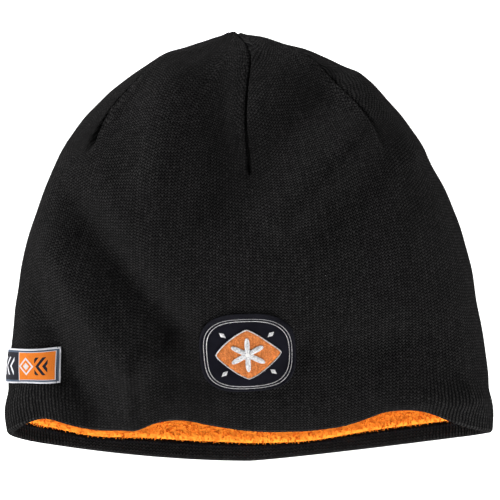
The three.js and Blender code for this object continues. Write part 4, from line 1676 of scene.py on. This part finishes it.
GREY = (0.42, 0.42, 0.45)
SLATE = (0.045, 0.06, 0.085)
LABEL_BLACK = (0.009, 0.009, 0.013)
LABEL_ORANGE = (0.44, 0.115, 0.012)
LABEL_WHITE = (0.38, 0.37, 0.38)
colour = mixed(tree, inset_box(LABEL_BORDER), GREY, SLATE)
block = label_box(LABEL_LINE + 0.9, LABEL_LENGTH - LABEL_LINE, LABEL_LINE, LABEL_HEIGHT - LABEL_LINE)
colour = mixed(tree, block, colour, LABEL_BLACK)
keyline = label_box(
    LABEL_LINE + 0.9 - LABEL_KEYLINE,
    LABEL_BLOCK_END + LABEL_KEYLINE,
    LABEL_LINE - LABEL_KEYLINE * 0.6,
    LABEL_HEIGHT - LABEL_LINE + LABEL_KEYLINE * 0.6,
)
colour = mixed(tree, keyline, colour, LABEL_WHITE)
orange_block = label_box(LABEL_LINE + 0.9, LABEL_BLOCK_END, LABEL_LINE, LABEL_HEIGHT - LABEL_LINE)
colour = mixed(tree, orange_block, colour, LABEL_ORANGE)
for row, ink in zip(CHEVRONS, (LABEL_BLACK, GREY)):
    slanted = calc("ADD", along_label, calc("MULTIPLY", off_middle, 0.8))
    repeat = calc("FRACT", calc("DIVIDE", slanted, row["pitch"]))
    striped = calc("LESS_THAN", repeat, row["share"])
    window = label_box(
        row["left"], row["right"], LABEL_HEIGHT / 2 - CHEVRON_HALF, LABEL_HEIGHT / 2 + CHEVRON_HALF
    )
    colour = mixed(tree, calc("MULTIPLY", striped, window), colour, ink)
off_centre = calc("ABSOLUTE", calc("SUBTRACT", along_label, DIAMOND_CENTRE))
diamond = calc("ADD", off_centre, off_middle)
in_reach = calc("LESS_THAN", diamond, DIAMOND_REACH)
ring = calc("MULTIPLY", in_reach, calc("GREATER_THAN", diamond, DIAMOND_REACH - DIAMOND_LINE))
colour = mixed(tree, ring, colour, LABEL_WHITE)
heart = calc("LESS_THAN", diamond, DIAMOND_REACH - 2.6)
colour = mixed(tree, heart, colour, LABEL_WHITE)
weave = add(tree, "ShaderNodeGroup", node_tree=ribs)
tree.links.new(label_place, weave.inputs["Vector"])
for key, value in (("Pitch", 0.42), ("Slope", 0.0), ("Cross", 0.8)):
    weave.inputs[key].default_value = value
slow, fast = add_unevenness(tree, 0.004, 0.0004)
woven_shade = calc("ADD", calc("MULTIPLY", weave.outputs["Height"], 0.22), calc("MULTIPLY", fast, 0.5))
woven_shade = calc("MINIMUM", calc("ADD", woven_shade, 0.42), 1.0)
shaded = add(tree, "ShaderNodeMix", {"Factor": 1.0}, data_type="RGBA", blend_type="MULTIPLY")
tree.links.new(colour, shaded.inputs[6])
grey_shade = add(tree, "ShaderNodeCombineColor", {0: woven_shade, 1: woven_shade, 2: woven_shade})
tree.links.new(grey_shade.outputs[0], shaded.inputs[7])
tree.links.new(shaded.outputs[2], shader.inputs["Base Color"])
relief(tree, shader, weave.outputs["Height"], 0.0001)
side_label.data.materials.append(label_material)

# %% Stitches that hold the label
label_top = TRIM_GAP + LABEL_THICKNESS
tacks = []
for share in (0.035, 0.965):
    across = np.linspace(-LABEL_HEIGHT / 2 + 0.4, LABEL_HEIGHT / 2 - 0.4, 12)
    along = np.full(12, LABEL_LENGTH * (LABEL_FRONT_SHARE - share))
    places, aways = label_places(along, across, label_top - 0.2)
    tacks.append((places, aways, 1.5, False))
label_tacks = sew("label_tacks", tacks, black_thread, 1.15, 0.3, 0.15, slant=80)

# %% [markdown]
# ## Seams inside the mouth
#
# Where the turned-in hem meets the fleece, an overlocker has sewn both edges down with black thread.
# The fleece dome has darts of its own, overlocked in orange. Both lie on inner faces, so their
# stitches stand off inwards.

# %% Overlock round the hem
OVERLOCK_SPAN = 2.8
OVERLOCK_PITCH = 1.5
OVERLOCK_OFF = 1.9  # its middle lies this far from the fleece's edge, on the turned-in knit


def inner_line(turns, rises, depth, span, closed=False):
    """A guide line on an inner face, where away is towards the inside."""
    surface = base_surface(turns, rises)
    places = dip_facing(cloth(surface, depth, inside=True), surface).reshape(-1, 3)
    return places, -surface["normal"].reshape(-1, 3), span, closed


hem_turns = np.arange(360) / 360
overlock_rise = lining_start - OVERLOCK_OFF / CAP_LENGTH
hem_overlock = sew(
    "hem_overlock",
    [inner_line(hem_turns, [overlock_rise], HEM_THICKNESS + 0.3, OVERLOCK_SPAN, True)],
    black_thread,
    OVERLOCK_PITCH,
    0.42,
    0.35,
    sink=0.5,
    slant=24,
)
DART_OVERLOCK_END = 0.985
dart_rises = np.linspace(0.72, DART_OVERLOCK_END, 40)
lining_face = KNIT_WALL + PIECE_GAP + FLEECE_WALL + PILE_HEIGHT
lining_seams = sew(
    "lining_seams",
    [inner_line(np.array([seam["turn"]]), dart_rises, lining_face, 5.0) for seam in SEAMS],
    seam_thread,
    2.2,
    0.5,
    0.5,
    sink=0.5,
    slant=20,
)

# %% [markdown]
# ## What each piece is to the part
#
# The cap is one body, so every piece rides on it. Each CAD solid is replaced by the pieces that show
# it better.

# %% Bodies, replaced solids and slots
PIECES = [
    dict(piece=knit_shell, node="knit_shell", slot="knit"),
    dict(piece=knit_fuzz, node="knit_shell", slot="knit"),
    dict(piece=hem_overlock, node=None, slot="knit"),
    dict(piece=fleece, node="fleece_lining", slot="fleece"),
    dict(piece=fleece_pile, node="fleece_lining", slot="fleece"),
    dict(piece=lining_seams, node=None, slot="fleece"),
    dict(piece=patch_ground, node="front_patch", slot="patch_twill"),
    dict(piece=patch_edge, node="front_patch", slot="patch_twill"),
    dict(piece=field_plate, node="patch_field", slot="patch_orange_thread"),
    dict(piece=lozenge_fill, node="patch_field", slot="patch_orange_thread"),
    dict(piece=star_plate, node="patch_star", slot="patch_white_thread"),
    dict(piece=star_stitches, node="patch_star", slot="patch_white_thread"),
    dict(piece=white_lines, node=None, slot="patch_white_thread"),
    dict(piece=corner_motifs, node=None, slot="patch_white_thread"),
    dict(piece=side_label, node="side_label", slot="woven_label"),
    dict(piece=label_tacks, node=None, slot="knit"),
]
for row in PIECES:
    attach(row["piece"], "root")
    if row["node"]:
        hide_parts(row["node"])
print("pieces:", len(PIECES), "triangles:", sum(triangle_count(row["piece"]) for row in PIECES))

# %% [markdown]
# ## Floor, light and camera
#
# The cap lies on a pale studio floor and is seen from straight above, through a long lens so that
# its thickness hardly widens its outline. A black knit shows its form only by the light that grazes
# it, so one soft light stands low at the upper left, and weaker ones fill the right side, the mouth
# and the back.

# %% Stage
FLOOR_SIZE = 6.0
bpy.ops.mesh.primitive_plane_add(size=FLOOR_SIZE, location=(0, 0, 0))
floor = bpy.context.object
floor.name = "floor"
floor_material, tree, shader = new_material("pale_floor", 0.9, Emission_Strength=0.65)
shader.inputs["Emission Color"].default_value = (1.0, 1.0, 1.0, 1.0)
shader.inputs["Base Color"].default_value = (0.9, 0.9, 0.9, 1.0)
shader.inputs["Specular IOR Level"].default_value = 0.1
floor.data.materials.append(floor_material)

LIGHTS = [
    dict(name="key_light", x=-1.75, y=0.8, z=0.6, size=0.6, power=112.0),
    dict(name="right_fill", x=1.8, y=0.6, z=0.7, size=0.8, power=46.0),
    dict(name="mouth_fill", x=0.2, y=-1.6, z=0.6, size=1.2, power=70.0),
    dict(name="back_fill", x=1.0, y=1.8, z=0.45, size=0.9, power=17.0),
]
for row in LIGHTS:
    light = bpy.data.lights.new(row["name"], "AREA")
    light.size = row["size"]
    light.energy = row["power"]
    lamp = bpy.data.objects.new(row["name"], light)
    lamp.location = (row["x"], row["y"], row["z"])
    lamp.rotation_euler = (-lamp.location).to_track_quat("-Z", "Y").to_euler()
    bpy.context.scene.collection.objects.link(lamp)

bpy.context.scene.view_settings.view_transform = "Standard"  # the picture's colours, unsoftened

world = bpy.data.worlds.new("studio")
world.use_nodes = True
world.node_tree.nodes["Background"].inputs["Color"].default_value = (1.0, 1.0, 1.0, 1.0)
world.node_tree.nodes["Background"].inputs["Strength"].default_value = 0.14
bpy.context.scene.world = world

# %% The sheets of cloth
for made in (knit_shell, fleece, patch_ground, side_label):
    surface = sum(polygon.area for polygon in made.data.polygons) / 2
    print(made.name, "half its surface, square metres:", round(surface, 5))

# %% Camera
PIXEL = 0.4925  # millimetres on the cap for one pixel of the picture
PICTURE = 500
CAMERA_HEIGHT = 2500.0
CAMERA_X = 0.45
CAMERA_Y = -0.7
SENSOR = 36.0
camera_data = bpy.data.cameras.new("overhead_camera")
camera_data.sensor_width = SENSOR
camera_data.lens = SENSOR * CAMERA_HEIGHT / (PIXEL * PICTURE)
camera = bpy.data.objects.new("overhead_camera", camera_data)
camera.location = (CAMERA_X * MM, CAMERA_Y * MM, CAMERA_HEIGHT * MM)
bpy.context.scene.collection.objects.link(camera)
bpy.context.scene.camera = camera
print("lens, mm:", round(camera_data.lens, 1))
